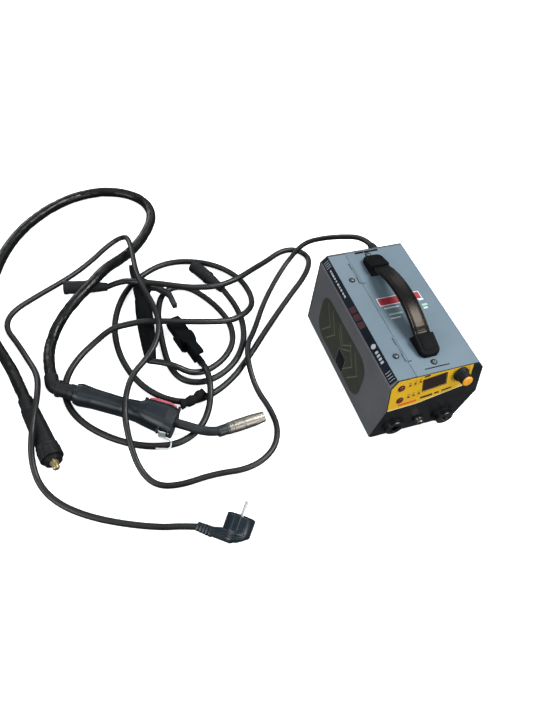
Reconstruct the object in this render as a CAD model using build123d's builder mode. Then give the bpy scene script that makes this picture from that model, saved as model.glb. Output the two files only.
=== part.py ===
from build123d import *
from math import atan2, cos, degrees, hypot, pi, radians, sin, tan
import os

os.makedirs("parts", exist_ok=True)

# Sizes in mm. The origin is on the floor under the machine's middle, the front faces -Y and the door -X.

# Casing
width = 150
depth = 250
height = 150
foot_height = 5
foot_x = 58
foot_y = 95
foot_bore = 2.2
chamfer_x = 10
chamfer_z = 12
nose_reach = 13
nose_z = 94
bottom_radius = 8
sheet = 1.2
moulding = 4
bezel_inset = 1.5
rear_wall = 3
pan_sheet = 1.5
pan_half = 69.5
pan_lip = 13.5
swing_gap = 0.5

# Door hinges along the seam in the top
seam_x = -36
seam_gap = 0.6
hinge_x = -37.3
hinge_z = 149.4
hinge_starts = (57, -97)
hinge_length = 43
knuckle_length = 13
knuckle_radius = 1.8
hinge_pin_radius = 0.8
run_fit = 0.05

# Door latch, up is open
latch_window_y = (-13, 11)
latch_window_z = (26, 60)
latch_travel = 5

# Front controls, x across and s down the sloping panel
panel_top = 2.4
panel_lower = [(-72.6, 56), (-27, 53.6), (57, 38.6)]
panel_sheet = 1
button_places = {"mode_button": (-56.7, 16.4), "function_button": (-55.5, 39)}
button_radius = 3.3
lamp_rows = [(-43.5, 14.1), (-42.4, 36)]
lamp_step = (8, -1.4)
lamp_radius = 1.5
display_middle = (-3.2, 19.4)
display_size = (37.5, 22)
display_turn = 6.8
dial_place = (38, 15)
dial_radius = 12
board_depth = 10.5

# Front sockets
socket_z = 42
socket_face = -136
current_x = 39.5
current_z = 40
current_bore = 4.65
torch_bore = 5.2
signal_x = -3
signal_face = -134

# Rear fittings
gland_x = 30
gland_z = 128
gland_end = 152
rocker_x = -30
rocker_z = 122
rocker_rest_tilt = 9
gas_x = -45
gas_z = 28
gas_radius = 4.5
fan_x = 42.5
fan_z = 70
fan_size = 60

# Wire feeder, on standoffs from the partition in line with the torch socket, and spool
partition_x = 10
wire_x = -45
wire_z = 42
drive_y = -68
drive_z = 27
drive_radius = 15
roller_radius = 10
wire_gap = 0.8
arm_pivot = (-96, 60)
arm_end = (-42, 62)
spool_y = 52
spool_z = 68
spool_radius = 50
spool_bore = 8
winding_radius = 42.5
drum_radius = 20

# Strap handle
handle_y = 2.5
strap_width = 25
strap_thick = 7
cap_width = 31

# Torch on the floor: rear and front end of the handle's axis, the neck's runs and the nozzle's axis
torch_rear = Vector(-475, 58, 22.6)
torch_front = Vector(-348, -28, 19.2)
neck_radius = 7
neck_reach = 57.2
neck_after_bend = 25.6
nozzle_dir = Vector(57, 6, -1.5).normalized()
nozzle_length = 57.3
collar_end = (-505, 98, 23.5)

# Plugs, clamp and holder on the floor
torch_plug_rear = Vector(-547, 70, 17)
torch_plug_tip = Vector(-521, -55, 17)
earth_plug_mouth = Vector(-458, 287, 12)
earth_plug_end = Vector(-388, 272, 12)
electrode_plug_mouth = Vector(-232, 287, 12)
electrode_plug_end = Vector(-199, 220, 12)
mains_plug_middle = Vector(-306, -203, 8)
mains_plug_entry = Vector(-362, -191, 8)
clamp_tail = Vector(-277.5, 74, 0)
clamp_front = Vector(-301.16, 172.5, 0)
holder_tail = Vector(-355, 96, 14)
holder_head = Vector(-335, 255, 19)

# Cord diameters and routes
mains_diameter = 9
hose_diameter = 18
lead_diameter = 10
mains_route = [
    (30, 152, 128), (30, 180, 121), (17, 205, 92), (-5, 238, 58), (-28, 262, 30), (-58, 264, 13),
    (-95, 228, 5), (-138, 176, 5), (-176, 116, 9), (-200, 84, 22), (-211, 44, 22), (-210, 4, 8),
    (-200, -34, 5), (-200, -72, 5), (-220, -106, 5), (-262, -124, 5), (-316, -117, 5), (-366, -121, 5),
    (-398, -112, 5), (-414, -84, 9), (-419, -50, 26), (-418, -14, 46), (-407, 24, 50), (-390, 56, 46),
    (-366, 78, 44), (-343, 104, 46), (-330, 136, 53), (-331, 172, 57), (-338, 210, 58), (-341, 250, 55),
    (-337, 294, 46), (-333, 334, 40), (-333, 364, 31), (-339, 388, 15), (-358, 396, 6), (-382, 384, 5),
    (-412, 350, 5), (-452, 316, 5), (-504, 286, 5), (-542, 258, 5), (-556, 226, 5), (-551, 190, 5),
    (-534, 150, 8), (-524, 108, 22), (-526, 62, 42), (-541, 8, 42), (-552, -28, 20), (-549, -66, 6),
    (-528, -102, 5), (-492, -132, 5), (-448, -156, 5), (-405, -176, 5.5), (-362, -191, 8),
]
hose_route = [
    (-505, 98, 23.5), (-505, 128, 21), (-499, 164, 14), (-482, 198, 20), (-452, 226, 34), (-418, 254, 40),
    (-386, 290, 38), (-354, 324, 20), (-322, 358, 9.5), (-288, 400, 9.5), (-268, 446, 9.5),
    (-280, 494, 9.5), (-330, 526, 9.5), (-390, 526, 9.5), (-450, 500, 9.5), (-506, 452, 9.5),
    (-545, 394, 9.5), (-570, 330, 9.5), (-588, 262, 9.5), (-580, 200, 9.5), (-563, 150, 10),
    (-554, 110, 13), (-547, 70, 17),
]
earth_route = [
    (-388, 272, 12), (-364, 267, 26), (-338, 256, 39), (-300, 243, 38), (-252, 227, 32), (-212, 218, 30),
    (-176, 228, 28), (-144, 252, 20), (-106, 279, 6), (-64, 298, 5.5), (-30, 292, 5.5), (-13, 264, 5.5),
    (-36, 226, 5.5), (-88, 180, 5.5), (-145, 126, 5.5), (-200, 70, 5.5), (-240, 34, 5.5), (-280, 14, 5.5),
    (-316, 9, 5.5), (-352, 26, 5.5), (-382, 64, 5.5), (-398, 116, 5.5), (-398, 172, 5.5), (-384, 220, 5.5),
    (-358, 264, 5.5), (-322, 294, 5.5), (-280, 312, 5.5), (-234, 308, 5.5), (-190, 286, 5.5),
    (-160, 248, 5.5), (-152, 210, 5.5), (-158, 174, 11), (-182, 146, 24), (-214, 133, 28), (-256, 137, 34),
    (-302, 146, 38), (-348, 157, 40), (-378, 164, 32), (-402, 168, 24), (-430, 160, 9), (-460, 138, 5.5),
    (-484, 106, 5.5), (-493, 70, 5.5), (-485, 32, 5.5), (-458, -6, 5.5), (-420, -36, 5.5), (-384, -52, 5.5),
    (-348, -56, 5.5), (-316, -42, 5.5), (-294, -18, 9), (-281, 14, 23), (-277, 51, 26), (-277.5, 74, 9),
]
electrode_route = [
    (-199, 220, 12), (-190, 198, 8), (-185, 166, 5.5), (-188, 132, 5.5), (-200, 98, 5.5), (-224, 66, 5.5),
    (-256, 46, 5.5), (-290, 40, 5.5), (-318, 54, 5.5), (-329, 86, 5.5), (-328, 126, 5.5), (-324, 166, 5.5),
    (-317, 206, 5.5), (-303, 238, 5.5), (-279, 252, 5.5), (-254, 244, 5.5), (-236, 222, 5.5),
    (-217, 186, 5.5), (-207, 146, 5.5), (-214, 106, 5.5), (-240, 76, 5.5), (-274, 60, 5.5), (-300, 60, 10),
    (-320, 69, 22), (-339, 83, 22), (-355, 96, 14),
]

# Values that follow from those sizes
half = width / 2
front = -depth / 2
rear = depth / 2
panel_lean = atan2(nose_reach, height - nose_z)
top_inside = height - sheet
pan_top = foot_height + pan_sheet
pan_lip_top = foot_height + pan_lip
rear_inside = rear - rear_wall
partition_far = partition_x + sheet
roller_z = wire_z + wire_gap + roller_radius
panel_plane = Plane((0, front, height), x_dir=(1, 0, 0), z_dir=(0, -cos(panel_lean), sin(panel_lean)))
torch_dir = (torch_front - torch_rear).normalized()
torch_side = Vector(0, 0, 1).cross(torch_dir).normalized()
torch_plane = Plane(torch_rear, x_dir=torch_side, z_dir=torch_dir)
torch_length = (torch_front - torch_rear).length
neck_bend = torch_front + torch_dir * neck_reach
nozzle_start = neck_bend + nozzle_dir * neck_after_bend


def block(x, y, z, mode=Mode.ADD):
    middle = ((x[0] + x[1]) / 2, (y[0] + y[1]) / 2, (z[0] + z[1]) / 2)
    with Locations(middle):
        Box(x[1] - x[0], y[1] - y[0], z[1] - z[0], mode=mode)


def turned(origin, direction, outline, mode=Mode.ADD):
    # the outline's points are a distance along the axis and a radius
    origin = Vector(origin)
    direction = Vector(direction)
    upright = abs(direction.normalized().Z) > 0.9
    side = direction.cross(Vector(1, 0, 0)) if upright else Vector(0, 0, 1).cross(direction)
    with BuildSketch(Plane(origin, x_dir=direction, z_dir=side)) as section:
        with BuildLine():
            Polyline(*outline, close=True)
        make_face()
    revolve(section.sketch, axis=Axis(origin, direction), mode=mode)


def rod(origin, direction, start, end, radius, mode=Mode.ADD):
    turned(origin, direction, [(start, 0), (start, radius), (end, radius), (end, 0)], mode)


def ring(origin, direction, start, end, radius, bore):
    turned(origin, direction, [(start, bore), (start, radius), (end, radius), (end, bore)])


def slab(plane, outline, thickness, mode=Mode.ADD):
    with BuildSketch(plane) as face:
        with BuildLine():
            Polyline(*outline, close=True)
        make_face()
    extrude(face.sketch, amount=thickness, mode=mode)


def front_line(shift=0):
    # the front face seen from the side, as y and z
    return [(front + shift, height), (front - nose_reach + shift, nose_z), (front + shift, foot_height)]


def trim_to_section(inset=0):
    # keeps what lies inside the casing's outline seen from the front
    with BuildSketch(Plane.XZ) as outline:
        with BuildLine():
            Polyline(
                (-half, foot_height), (half, foot_height), (half, height - chamfer_z),
                (half - chamfer_x, height), (chamfer_x - half, height), (-half, height - chamfer_z),
                close=True,
            )
        make_face()
        fillet(outline.vertices().sort_by(Axis.Y)[:2], bottom_radius)
        if inset:
            offset(amount=-inset, kind=Kind.INTERSECTION, mode=Mode.REPLACE)
    extrude(outline.sketch, amount=depth, both=True, mode=Mode.INTERSECT)


def bent_sheet(side, seam, rear_y, gap):
    # one half of the wrapper: strip of the top, chamfer, side wall and a curled bottom edge
    inner_half = half - sheet
    lean = atan2(chamfer_x, chamfer_z)
    inset_top = sheet * tan((pi / 2 - lean) / 2)
    inset_side = sheet * tan(lean / 2)
    curl = bottom_radius - sheet
    middle = (half - bottom_radius, foot_height + bottom_radius)

    def around(radius, turn):
        return side * (middle[0] + radius * cos(radians(turn))), middle[1] + radius * sin(radians(turn))

    with BuildSketch(Plane.XZ.offset(-rear_y)) as section:
        with BuildLine():
            Polyline(
                (seam, top_inside), (seam, height), (side * (half - chamfer_x), height),
                (side * half, height - chamfer_z), around(bottom_radius, 0),
            )
            ThreePointArc(around(bottom_radius, 0), around(bottom_radius, -30), around(bottom_radius, -60))
            Line(around(bottom_radius, -60), around(curl, -60))
            ThreePointArc(around(curl, -60), around(curl, -30), around(curl, 0))
            Polyline(
                around(curl, 0), (side * inner_half, height - chamfer_z - inset_side),
                (side * (half - chamfer_x - inset_top), top_inside), (seam, top_inside),
            )
        make_face()
    extrude(section.sketch, amount=rear_y - front + 2 * nose_reach)
    edge = front_line(gap)
    slab(
        Plane.YZ.offset(-width),
        [
            (-depth, 0), (edge[2][0], 0), edge[2], edge[1], edge[0], (edge[0][0], 2 * height),
            (-depth, 2 * height),
        ], 2 * width, Mode.SUBTRACT,
    )


def hinge_slits(x_range):
    # the wrapper stands back from the hinge barrels
    for start in hinge_starts:
        block(x_range, (start - 0.5, start + hinge_length + 0.5), (top_inside - 1, height + 1), Mode.SUBTRACT)


def panel_sketch(margin=0):
    left, right = panel_lower[0][0] - margin, panel_lower[-1][0] + margin
    top = margin - panel_top
    start, bend, end = [-s - margin for x, s in panel_lower]
    lower = [(left, start), (panel_lower[1][0], bend), (right, end)]
    return [*lower, (right, top), (left + chamfer_x, top), (left, -panel_top - chamfer_z)]


def drill_panel(surface, from_depth, to_depth, radius, places):
    with BuildSketch(surface.offset(-to_depth)) as holes:
        with Locations(*[(x, -s) for x, s in places]):
            Circle(radius)
    extrude(holes.sketch, amount=to_depth - from_depth, mode=Mode.SUBTRACT)


def raise_on_panel(from_depth, to_depth, places, radius=None, size=None, turn=0):
    with BuildSketch(panel_plane.offset(-from_depth)) as feet:
        with Locations(*[(x, -s) for x, s in places]):
            if radius:
                Circle(radius)
            else:
                Rectangle(*size, rotation=turn)
    extrude(feet.sketch, amount=from_depth - to_depth)


def display_window(margin):
    with BuildSketch(panel_plane.offset(-moulding - 1)) as window:
        with Locations((display_middle[0], -display_middle[1])):
            Rectangle(display_size[0] + margin, display_size[1] + margin, rotation=display_turn)
    extrude(window.sketch, amount=moulding + 2, mode=Mode.SUBTRACT)


lamp_places = [(x + lamp_step[0] * step, s + lamp_step[1] * step) for x, s in lamp_rows for step in range(3)]
boss_places = [(-47, 5), (49, 8), (-47, 47), (47, 47)]
screw_places = [
    ((0, 112.4, height), (0, 0, 1)), ((0, -108.6, height), (0, 0, 1)),
    ((half, -100, 15), (1, 0, 0)), ((half, 100, 15), (1, 0, 0)),
    ((-62, rear, 16), (0, 1, 0)), ((62, rear, 16), (0, 1, 0)),
    ((-60, rear, 140), (0, 1, 0)), ((60, rear, 140), (0, 1, 0)),
]
screw_reach = 9
shank_radius = 1.9


def screw_holes():
    for place, direction in screw_places:
        rod(place, direction, -screw_reach - 1, 1, shank_radius + run_fit, Mode.SUBTRACT)


# Base pan: folded tray with four pillars for the power board, slots under it and holes over the feet
foot_places = [(x, y) for x in (-foot_x, foot_x) for y in (-foot_y, foot_y)]
board_pillars = [(18, -38), (66, -38), (18, 84), (66, 84)]
board_z = 22
with BuildPart() as base_pan:
    block((-pan_half, pan_half), (front, rear_inside), (foot_height, pan_top))
    for side in (-1, 1):
        wall = sorted((side * pan_half, side * (pan_half - sheet)))
        block(wall, (front + moulding, rear_inside), (foot_height, pan_lip_top))
    for x, y in board_pillars:
        rod((x, y, pan_top), (0, 0, 1), 0, board_z - pan_top, 3)
    for y in range(-20, 70, 12):
        block((26, 60), (y, y + 4), (0, pan_top + 1), Mode.SUBTRACT)
    for x, y in foot_places:
        rod((x, y, foot_height), (0, 0, 1), -1, pan_sheet + 1, foot_bore, Mode.SUBTRACT)
    screw_holes()
base_pan.part.label = "base_pan"
export_step(base_pan.part, "parts/base_pan.step")

with BuildPart() as rubber_feet:
    for x, y in foot_places:
        turned((x, y, 0), (0, 0, 1), [
            (0, foot_bore), (0, 6.5), (1, 7.2), (foot_height, 8), (foot_height, foot_bore),
        ])
rubber_feet.part.label = "rubber_feet"
export_step(rubber_feet.part, "parts/rubber_feet.step")

# Outer cover: top and right side in one bent sheet, with louvre slots and slots for the strap's tabs
top_slots = [((-19, 20.7), -117), ((-19.4, -5.4), 119), ((-3.8, 20), 119)]
with BuildPart() as outer_cover:
    bent_sheet(1, seam_x + seam_gap / 2, rear_inside, 0)
    hinge_slits((seam_x, hinge_x + knuckle_radius + 0.3))
    for start in hinge_starts:
        block((seam_x, seam_x + 5.5), (start - 2, start - 0.4), (top_inside - 1, height + 1), Mode.SUBTRACT)
    for slot_x, y in top_slots:
        block(slot_x, (y - 0.9, y + 0.9), (top_inside - 1, height + 1), Mode.SUBTRACT)
    for y in range(-70, 86, 13):
        block((half - 2, half + 1), (y - 1.7, y + 1.7), (58, 112), Mode.SUBTRACT)
    screw_holes()
outer_cover.part.label = "outer_cover"
export_step(outer_cover.part, "parts/outer_cover.step")

with BuildPart() as cover_screws:
    for place, direction in screw_places:
        turned(place, direction, [
            (-screw_reach, 0), (-screw_reach, shank_radius), (0, shank_radius), (0, 3.5), (1.2, 3.5),
            (2.1, 2), (2.1, 0),
        ])
cover_screws.part.label = "cover_screws"
export_step(cover_screws.part, "parts/cover_screws.step")

# Hinges: a leaf under the cover, two barrels and the pin, with the door's knuckle between them
with BuildPart() as cover_hinges:
    for start in hinge_starts:
        end = start + hinge_length
        leaf_z = (hinge_z - knuckle_radius, top_inside)
        block((hinge_x + knuckle_radius + 0.3, -20), (start, end), leaf_z)
        for barrel_start in (start, end - knuckle_length):
            barrel = (barrel_start, barrel_start + knuckle_length)
            block((hinge_x, hinge_x + knuckle_radius + 0.5), barrel, leaf_z)
            rod((hinge_x, 0, hinge_z), (0, 1, 0), barrel[0], barrel[1], knuckle_radius)
        rod((hinge_x, 0, hinge_z), (0, 1, 0), start, end, hinge_pin_radius)
cover_hinges.part.label = "cover_hinges"
export_step(cover_hinges.part, "parts/cover_hinges.step")

# Side door: left strip of the top, chamfer and left side, with rolled knuckles and guides for the latch
latch_guide_z = (19.5, 66)
latch_plate_x = (-half + sheet + 0.3, -half + sheet + 1.9)
latch_plate_y = (latch_window_y[0] - 3, latch_window_y[1] + 3)
with BuildPart() as side_door:
    bent_sheet(-1, seam_x - seam_gap / 2, rear_inside - swing_gap, swing_gap)
    hinge_slits((hinge_x - knuckle_radius - 0.9, seam_x))
    for start in hinge_starts:
        knuckle = (start + knuckle_length + 0.3, start + hinge_length - knuckle_length - 0.3)
        block((hinge_x - 4, hinge_x), knuckle, (top_inside, height))
        hinge_line = ((hinge_x, 0, hinge_z), (0, 1, 0))
        rod(*hinge_line, knuckle[0], knuckle[1], knuckle_radius)
        rod(*hinge_line, knuckle[0] - 1, knuckle[1] + 1, hinge_pin_radius + run_fit, Mode.SUBTRACT)
    block((-half - 1, -half + 2), latch_window_y, latch_window_z, Mode.SUBTRACT)
    for edge, outward in ((latch_plate_y[0], -1), (latch_plate_y[1], 1)):
        rail = sorted((edge + outward * 0.4, edge + outward * 2.4))
        lip = sorted((edge + outward * 2.4, edge - outward * 2))
        block((-half + sheet, latch_plate_x[1] + 1.1), rail, latch_guide_z)
        block((latch_plate_x[1] + 0.3, latch_plate_x[1] + 1.1), lip, latch_guide_z)
side_door.part.label = "side_door"
export_step(side_door.part, "parts/side_door.step")

# Latch: finger pad in the window, plate in the guides and a tongue that drops behind the pan's lip
with BuildPart() as door_latch:
    plate_z = (pan_lip_top + latch_travel + 1, latch_window_z[1] + 3)
    pad_z = (latch_window_z[0] + latch_travel + 0.5, latch_window_z[1] - 0.4)
    pad_y = (latch_window_y[0] + 0.4, latch_window_y[1] - 0.4)
    tongue_x = (0.4 + sheet - pan_half, 3.4 + sheet - pan_half)
    block(latch_plate_x, latch_plate_y, plate_z)
    block((-half - 0.4, latch_plate_x[0]), pad_y, pad_z)
    block((latch_plate_x[1], tongue_x[1]), (-10, 8), (plate_z[0], plate_z[0] + 10))
    block(tongue_x, (-10, 8), (pan_lip_top + 0.8, plate_z[0] + 10))
    for rib in range(4):
        rib_z = pad_z[0] + 5 + 5 * rib
        block((-half - 1.2, -half), (pad_y[0] + 3, pad_y[1] - 3), (rib_z, rib_z + 2))
door_latch.part.label = "door_latch"
export_step(door_latch.part, "parts/door_latch.step")

# Front bezel: bent moulding inside the wrapper's edge with socket bosses, panel recess, pillars for the
# display board, a foot on the pan and a relief under the swinging edge of the door
torch_socket_place = (wire_x, socket_face, socket_z)
current_socket_place = (current_x, socket_face, current_z)
signal_place = (signal_x, signal_face, socket_z)
with BuildPart() as front_bezel:
    with BuildSketch(Plane.YZ):
        with BuildLine():
            Polyline(*front_line(), *reversed(front_line(moulding)), close=True)
        make_face()
    extrude(amount=half, both=True)
    block((-58, 58), (front + 2.5, front + 13), (pan_top, pan_top + 2.5))
    for place in (torch_socket_place, current_socket_place):
        rod(place, (0, 1, 0), 0, 14, 17)
    rod(signal_place, (0, 1, 0), 0, 8, 8.5)
    trim_to_section(bezel_inset)
    relief_y = (front - 1, front + moulding + 2)
    block((hinge_x - 2, hinge_x + 2), relief_y, (top_inside - 1, height), Mode.SUBTRACT)
    raise_on_panel(board_depth, moulding - 1, boss_places, radius=2.5)
    slab(panel_plane.offset(-panel_sheet), panel_sketch(), 3, Mode.SUBTRACT)
    drill_panel(panel_plane, -1, moulding + 1, 3.6, list(button_places.values()) + [dial_place])
    drill_panel(panel_plane, -1, moulding + 1, lamp_radius + 0.3, lamp_places)
    display_window(1)
    rod(torch_socket_place, (0, 1, 0), -1, 16, 11, Mode.SUBTRACT)
    rod(current_socket_place, (0, 1, 0), -1, 16, 10, Mode.SUBTRACT)
    rod(signal_place, (0, 1, 0), -1, 10, 4.8, Mode.SUBTRACT)
front_bezel.part.label = "front_bezel"
export_step(front_bezel.part, "parts/front_bezel.step")

with BuildPart() as control_panel:
    slab(panel_plane.offset(-panel_sheet), panel_sketch(-0.2), panel_sheet)
    drill_panel(panel_plane, -1, moulding, 3.6, list(button_places.values()) + [dial_place])
    drill_panel(panel_plane, -1, moulding, lamp_radius + 0.1, lamp_places)
    display_window(0)
control_panel.part.label = "control_panel"
export_step(control_panel.part, "parts/control_panel.step")

# Display board: circuit board with the display block, six lamps, two switches and the dial's bearing
with BuildPart() as display_board:
    raise_on_panel(board_depth + 1.6, board_depth, [(-5, 28)], size=(114, 48))
    raise_on_panel(board_depth, panel_sheet + 0.2, [display_middle], size=display_size, turn=display_turn)
    raise_on_panel(board_depth, -0.6, lamp_places, radius=lamp_radius)
    raise_on_panel(board_depth, 9, list(button_places.values()), size=(6, 6))
    raise_on_panel(board_depth, 6.5, [dial_place], size=(12, 12))
    drill_panel(panel_plane, 6, 8.4, 3 + run_fit, [dial_place])
display_board.part.label = "display_board"
export_step(display_board.part, "parts/display_board.step")

for name, place in button_places.items():
    with BuildPart() as button:
        raise_on_panel(7.5, 5.5, [place], radius=2)
        raise_on_panel(5.5, moulding + 0.3, [place], radius=4.6)
        raise_on_panel(moulding + 0.3, -1.6, [place], radius=button_radius)
        chamfer(button.faces().sort_by(Axis((0, 0, 0), panel_plane.z_dir))[-1].edges(), 0.5)
    button.part.label = name
    export_step(button.part, f"parts/{name}.step")

# Dial: skirted knob with finger flutes and a pale cap
dial_origin = panel_plane.from_local_coords((dial_place[0], -dial_place[1], 0))
dial_axis = panel_plane.z_dir
flute_count = 14
with BuildPart() as dial_knob:
    turned(dial_origin, dial_axis, [
        (-8, 0), (-8, 3), (0.5, 3), (0.5, dial_radius), (3.5, dial_radius - 0.3), (5.5, 9.6), (17, 8.8),
        (17, 7.9), (15.5, 7.9), (15.5, 0),
    ])
    for step in range(flute_count):
        turn = 2 * pi * step / flute_count
        offset = panel_plane.x_dir * (9.9 * cos(turn)) + panel_plane.y_dir * (9.9 * sin(turn))
        rod(dial_origin + offset, dial_axis, 5.6, 18, 1, Mode.SUBTRACT)
dial_knob.part.label = "dial_knob"
export_step(dial_knob.part, "parts/dial_knob.step")

with BuildPart() as dial_cap:
    turned(dial_origin, dial_axis, [(15.5, 0), (15.5, 7.8), (18, 7.8), (18.8, 6.2), (19, 0)])
dial_cap.part.label = "dial_cap"
export_step(dial_cap.part, "parts/dial_cap.step")

# Sockets: a moulded flange and barrel each, with a bored brass contact inside, and a small plain connector
with BuildPart() as socket_bodies:
    turned(torch_socket_place, (0, 1, 0), [
        (-3.5, 9), (-3.5, 14.4), (-2.7, 15.2), (0, 15.2), (0, 11), (20, 11), (20, 9),
    ])
    turned(current_socket_place, (0, 1, 0), [
        (-7, 6.5), (-7, 13.2), (-6.2, 14), (0, 14), (0, 10), (14, 10), (14, 13.5), (19, 13.5), (19, 6.5),
    ])
socket_bodies.part.label = "socket_bodies"
export_step(socket_bodies.part, "parts/socket_bodies.step")

with BuildPart() as socket_contacts:
    turned(torch_socket_place, (0, 1, 0), [
        (-3, torch_bore), (-3, 9), (32, 9), (32, 1.5), (24, 1.5), (24, torch_bore),
    ])
    turned(current_socket_place, (0, 1, 0), [
        (-6, current_bore), (-6, 6.5), (26, 6.5), (26, 0), (16, 0), (16, current_bore),
    ])
    turned(signal_place, (0, 1, 0), [
        (-7, 3.6), (-7, 5), (-6.5, 5.5), (-1.5, 5.5), (-1.5, 6.6), (0, 6.6), (0, 4.8), (12, 4.8), (12, 0),
        (2, 0), (2, 3.6),
    ])
socket_contacts.part.label = "socket_contacts"
export_step(socket_contacts.part, "parts/socket_contacts.step")

# Rear panel: moulding with a ringed fan grille, a switch frame and holes for the fittings
with BuildPart() as rear_panel:
    block((-half, half), (rear_inside, rear), (foot_height, height))
    trim_to_section()
    block((rocker_x - 9, rocker_x + 9), (rear, rear + 2), (rocker_z - 13, rocker_z + 13))
    block((rocker_x - 7, rocker_x + 7), (rear_inside - 9, rear_inside), (rocker_z - 11, rocker_z + 11))
    well_x = (rocker_x - 5.5, rocker_x + 5.5)
    well_z = (rocker_z - 9.5, rocker_z + 9.5)
    block(well_x, (rear_inside - 7, rear + 3), well_z, Mode.SUBTRACT)
    with BuildSketch(Plane.XZ.offset(-rear_inside + 1)) as grille:
        with Locations((fan_x, fan_z)):
            for outer in (28, 22, 16, 10):
                Circle(outer)
                Circle(outer - 4, mode=Mode.SUBTRACT)
            for turn in (45, -45):
                Rectangle(fan_size, 3, rotation=turn, mode=Mode.SUBTRACT)
    extrude(grille.sketch, amount=-rear_wall - 2, mode=Mode.SUBTRACT)
    rod((gland_x, rear_inside, gland_z), (0, 1, 0), -1, 5, 8, Mode.SUBTRACT)
    rod((gas_x, rear_inside, gas_z), (0, 1, 0), -1, 5, 6, Mode.SUBTRACT)
    screw_holes()
rear_panel.part.label = "rear_panel"
export_step(rear_panel.part, "parts/rear_panel.step")

# Mains switch: rocker drawn level, then tilted to its off position about a pin in the frame's walls
rocker_tilt = radians(rocker_rest_tilt)
rocker_pivot = Vector(rocker_x, rear - 1, rocker_z)
rocker_plane = Plane(rocker_pivot, x_dir=(0, cos(rocker_tilt), sin(rocker_tilt)), z_dir=(1, 0, 0))
with BuildPart() as power_rocker:
    slab(rocker_plane.offset(-5), [(-2, -6.5), (3.2, -8.6), (2.2, 0), (3.2, 8.6), (-2, 6.5), (-5, 0)], 10)
    rod(rocker_pivot, (1, 0, 0), -5.45, 5.45, 1)
power_rocker.part.label = "power_rocker"
export_step(power_rocker.part, "parts/power_rocker.step")

with BuildPart() as mains_gland:
    turned((gland_x, rear_inside, gland_z), (0, 1, 0), [
        (-5, 0), (-5, 11), (0, 11), (0, 8), (rear_wall, 8), (rear_wall, 11), (8, 11), (9, 10), (14, 9),
        (15, 8), (17, 8), (17.5, 7), (19, 7), (19.5, 7.6), (21.5, 7.4), (22, 6.6), (23.5, 6.6), (24, 7.1),
        (26, 6.9), (26.5, 6.2), (gland_end - rear_inside, 6), (gland_end - rear_inside, 0),
    ])
mains_gland.part.label = "mains_gland"
export_step(mains_gland.part, "parts/mains_gland.step")

with BuildPart() as gas_inlet:
    turned((gas_x, rear_inside, gas_z), (0, 1, 0), [
        (-5, 2.5), (-5, 8), (0, 8), (0, 6), (rear_wall, 6), (rear_wall, 8), (9, 8), (10, 7), (10, gas_radius),
        (28, gas_radius), (28, 2.5),
    ])
gas_inlet.part.label = "gas_inlet"
export_step(gas_inlet.part, "parts/gas_inlet.step")

# Fan: square frame with four struts and a stub axle, and a rotor with seven pitched blades
fan_front = rear_inside - 20
blade_count = 7
with BuildPart() as fan_frame:
    block((fan_x - 30, fan_x + 30), (fan_front, rear_inside), (fan_z - 30, fan_z + 30))
    rod((fan_x, fan_front, fan_z), (0, 1, 0), -1, 21, 28.6, Mode.SUBTRACT)
    rod((fan_x, fan_front, fan_z), (0, 1, 0), 0, 3, 12)
    for turn in (0, 90):
        with BuildSketch(Plane.XZ.offset(-fan_front)) as strut:
            with Locations((fan_x, fan_z)):
                Rectangle(58, 4, rotation=turn + 20)
        extrude(strut.sketch, amount=-2.5)
    rod((fan_x, fan_front, fan_z), (0, 1, 0), 0, 13, 2)
fan_frame.part.label = "fan_frame"
export_step(fan_frame.part, "parts/fan_frame.step")

with BuildPart() as fan_rotor:
    rod((fan_x, fan_front, fan_z), (0, 1, 0), 4, 18, 12)
    for step in range(blade_count):
        turn = 2 * pi * step / blade_count
        outward = Vector(cos(turn), 0, sin(turn))
        root = Vector(fan_x, fan_front + 11, fan_z) + outward * 11
        with BuildSketch(Plane(root, x_dir=(0, 1, 0), z_dir=outward)) as blade:
            Rectangle(14, 1.6, rotation=42)
        extrude(blade.sketch, amount=16)
    rod((fan_x, fan_front, fan_z), (0, 1, 0), 3, 14, 2 + run_fit, Mode.SUBTRACT)
fan_rotor.part.label = "fan_rotor"
export_step(fan_rotor.part, "parts/fan_rotor.step")

# Partition between the wire bay and the power side, with a round hole for the feed motor
with BuildPart() as partition:
    block((partition_x, partition_far), (-104, rear_inside), (pan_top, top_inside))
    rod((partition_x, drive_y, drive_z), (1, 0, 0), -1, 3, 17.6, Mode.SUBTRACT)
    for y in (-20, 100):
        rod((partition_x, y, 128), (1, 0, 0), -1, 3, 6, Mode.SUBTRACT)
partition.part.label = "partition"
export_step(partition.part, "parts/partition.step")

# Power side: circuit board with capacitors and a choke, finned heat sink and transformer
board_top = board_z + 1.6
with BuildPart() as power_board:
    block((14, 70), (-44, 90), (board_z, board_top))
    for y in (-24, 70):
        rod((57, y, board_top), (0, 0, 1), 0, 34, 11)
    ring((30, 76, board_top), (0, 0, 1), 0, 12, 11, 5)
    for y in (-40, -28, -16):
        block((45, 50), (y + 30, y + 36), (board_top, board_top + 9))
power_board.part.label = "power_board"
export_step(power_board.part, "parts/power_board.step")

with BuildPart() as heatsink:
    block((17, 42), (-36, 60), (board_top, board_top + 5))
    for fin in range(6):
        block((17 + 4.6 * fin, 19 + 4.6 * fin), (-36, 60), (board_top, 78))
heatsink.part.label = "heatsink"
export_step(heatsink.part, "parts/heatsink.step")

with BuildPart() as transformer:
    block((52, 71), (8, 52), (board_top, 66))
    for y in (16, 34):
        block((51, 72), (y, y + 10), (board_top + 10, 56), Mode.SUBTRACT)
    block((50, 73), (17, 43), (board_top + 11, 55))
    fillet(transformer.edges().filter_by(Axis.Z).group_by(Axis.X)[0], 2)
transformer.part.label = "transformer"
export_step(transformer.part, "parts/transformer.step")

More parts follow.
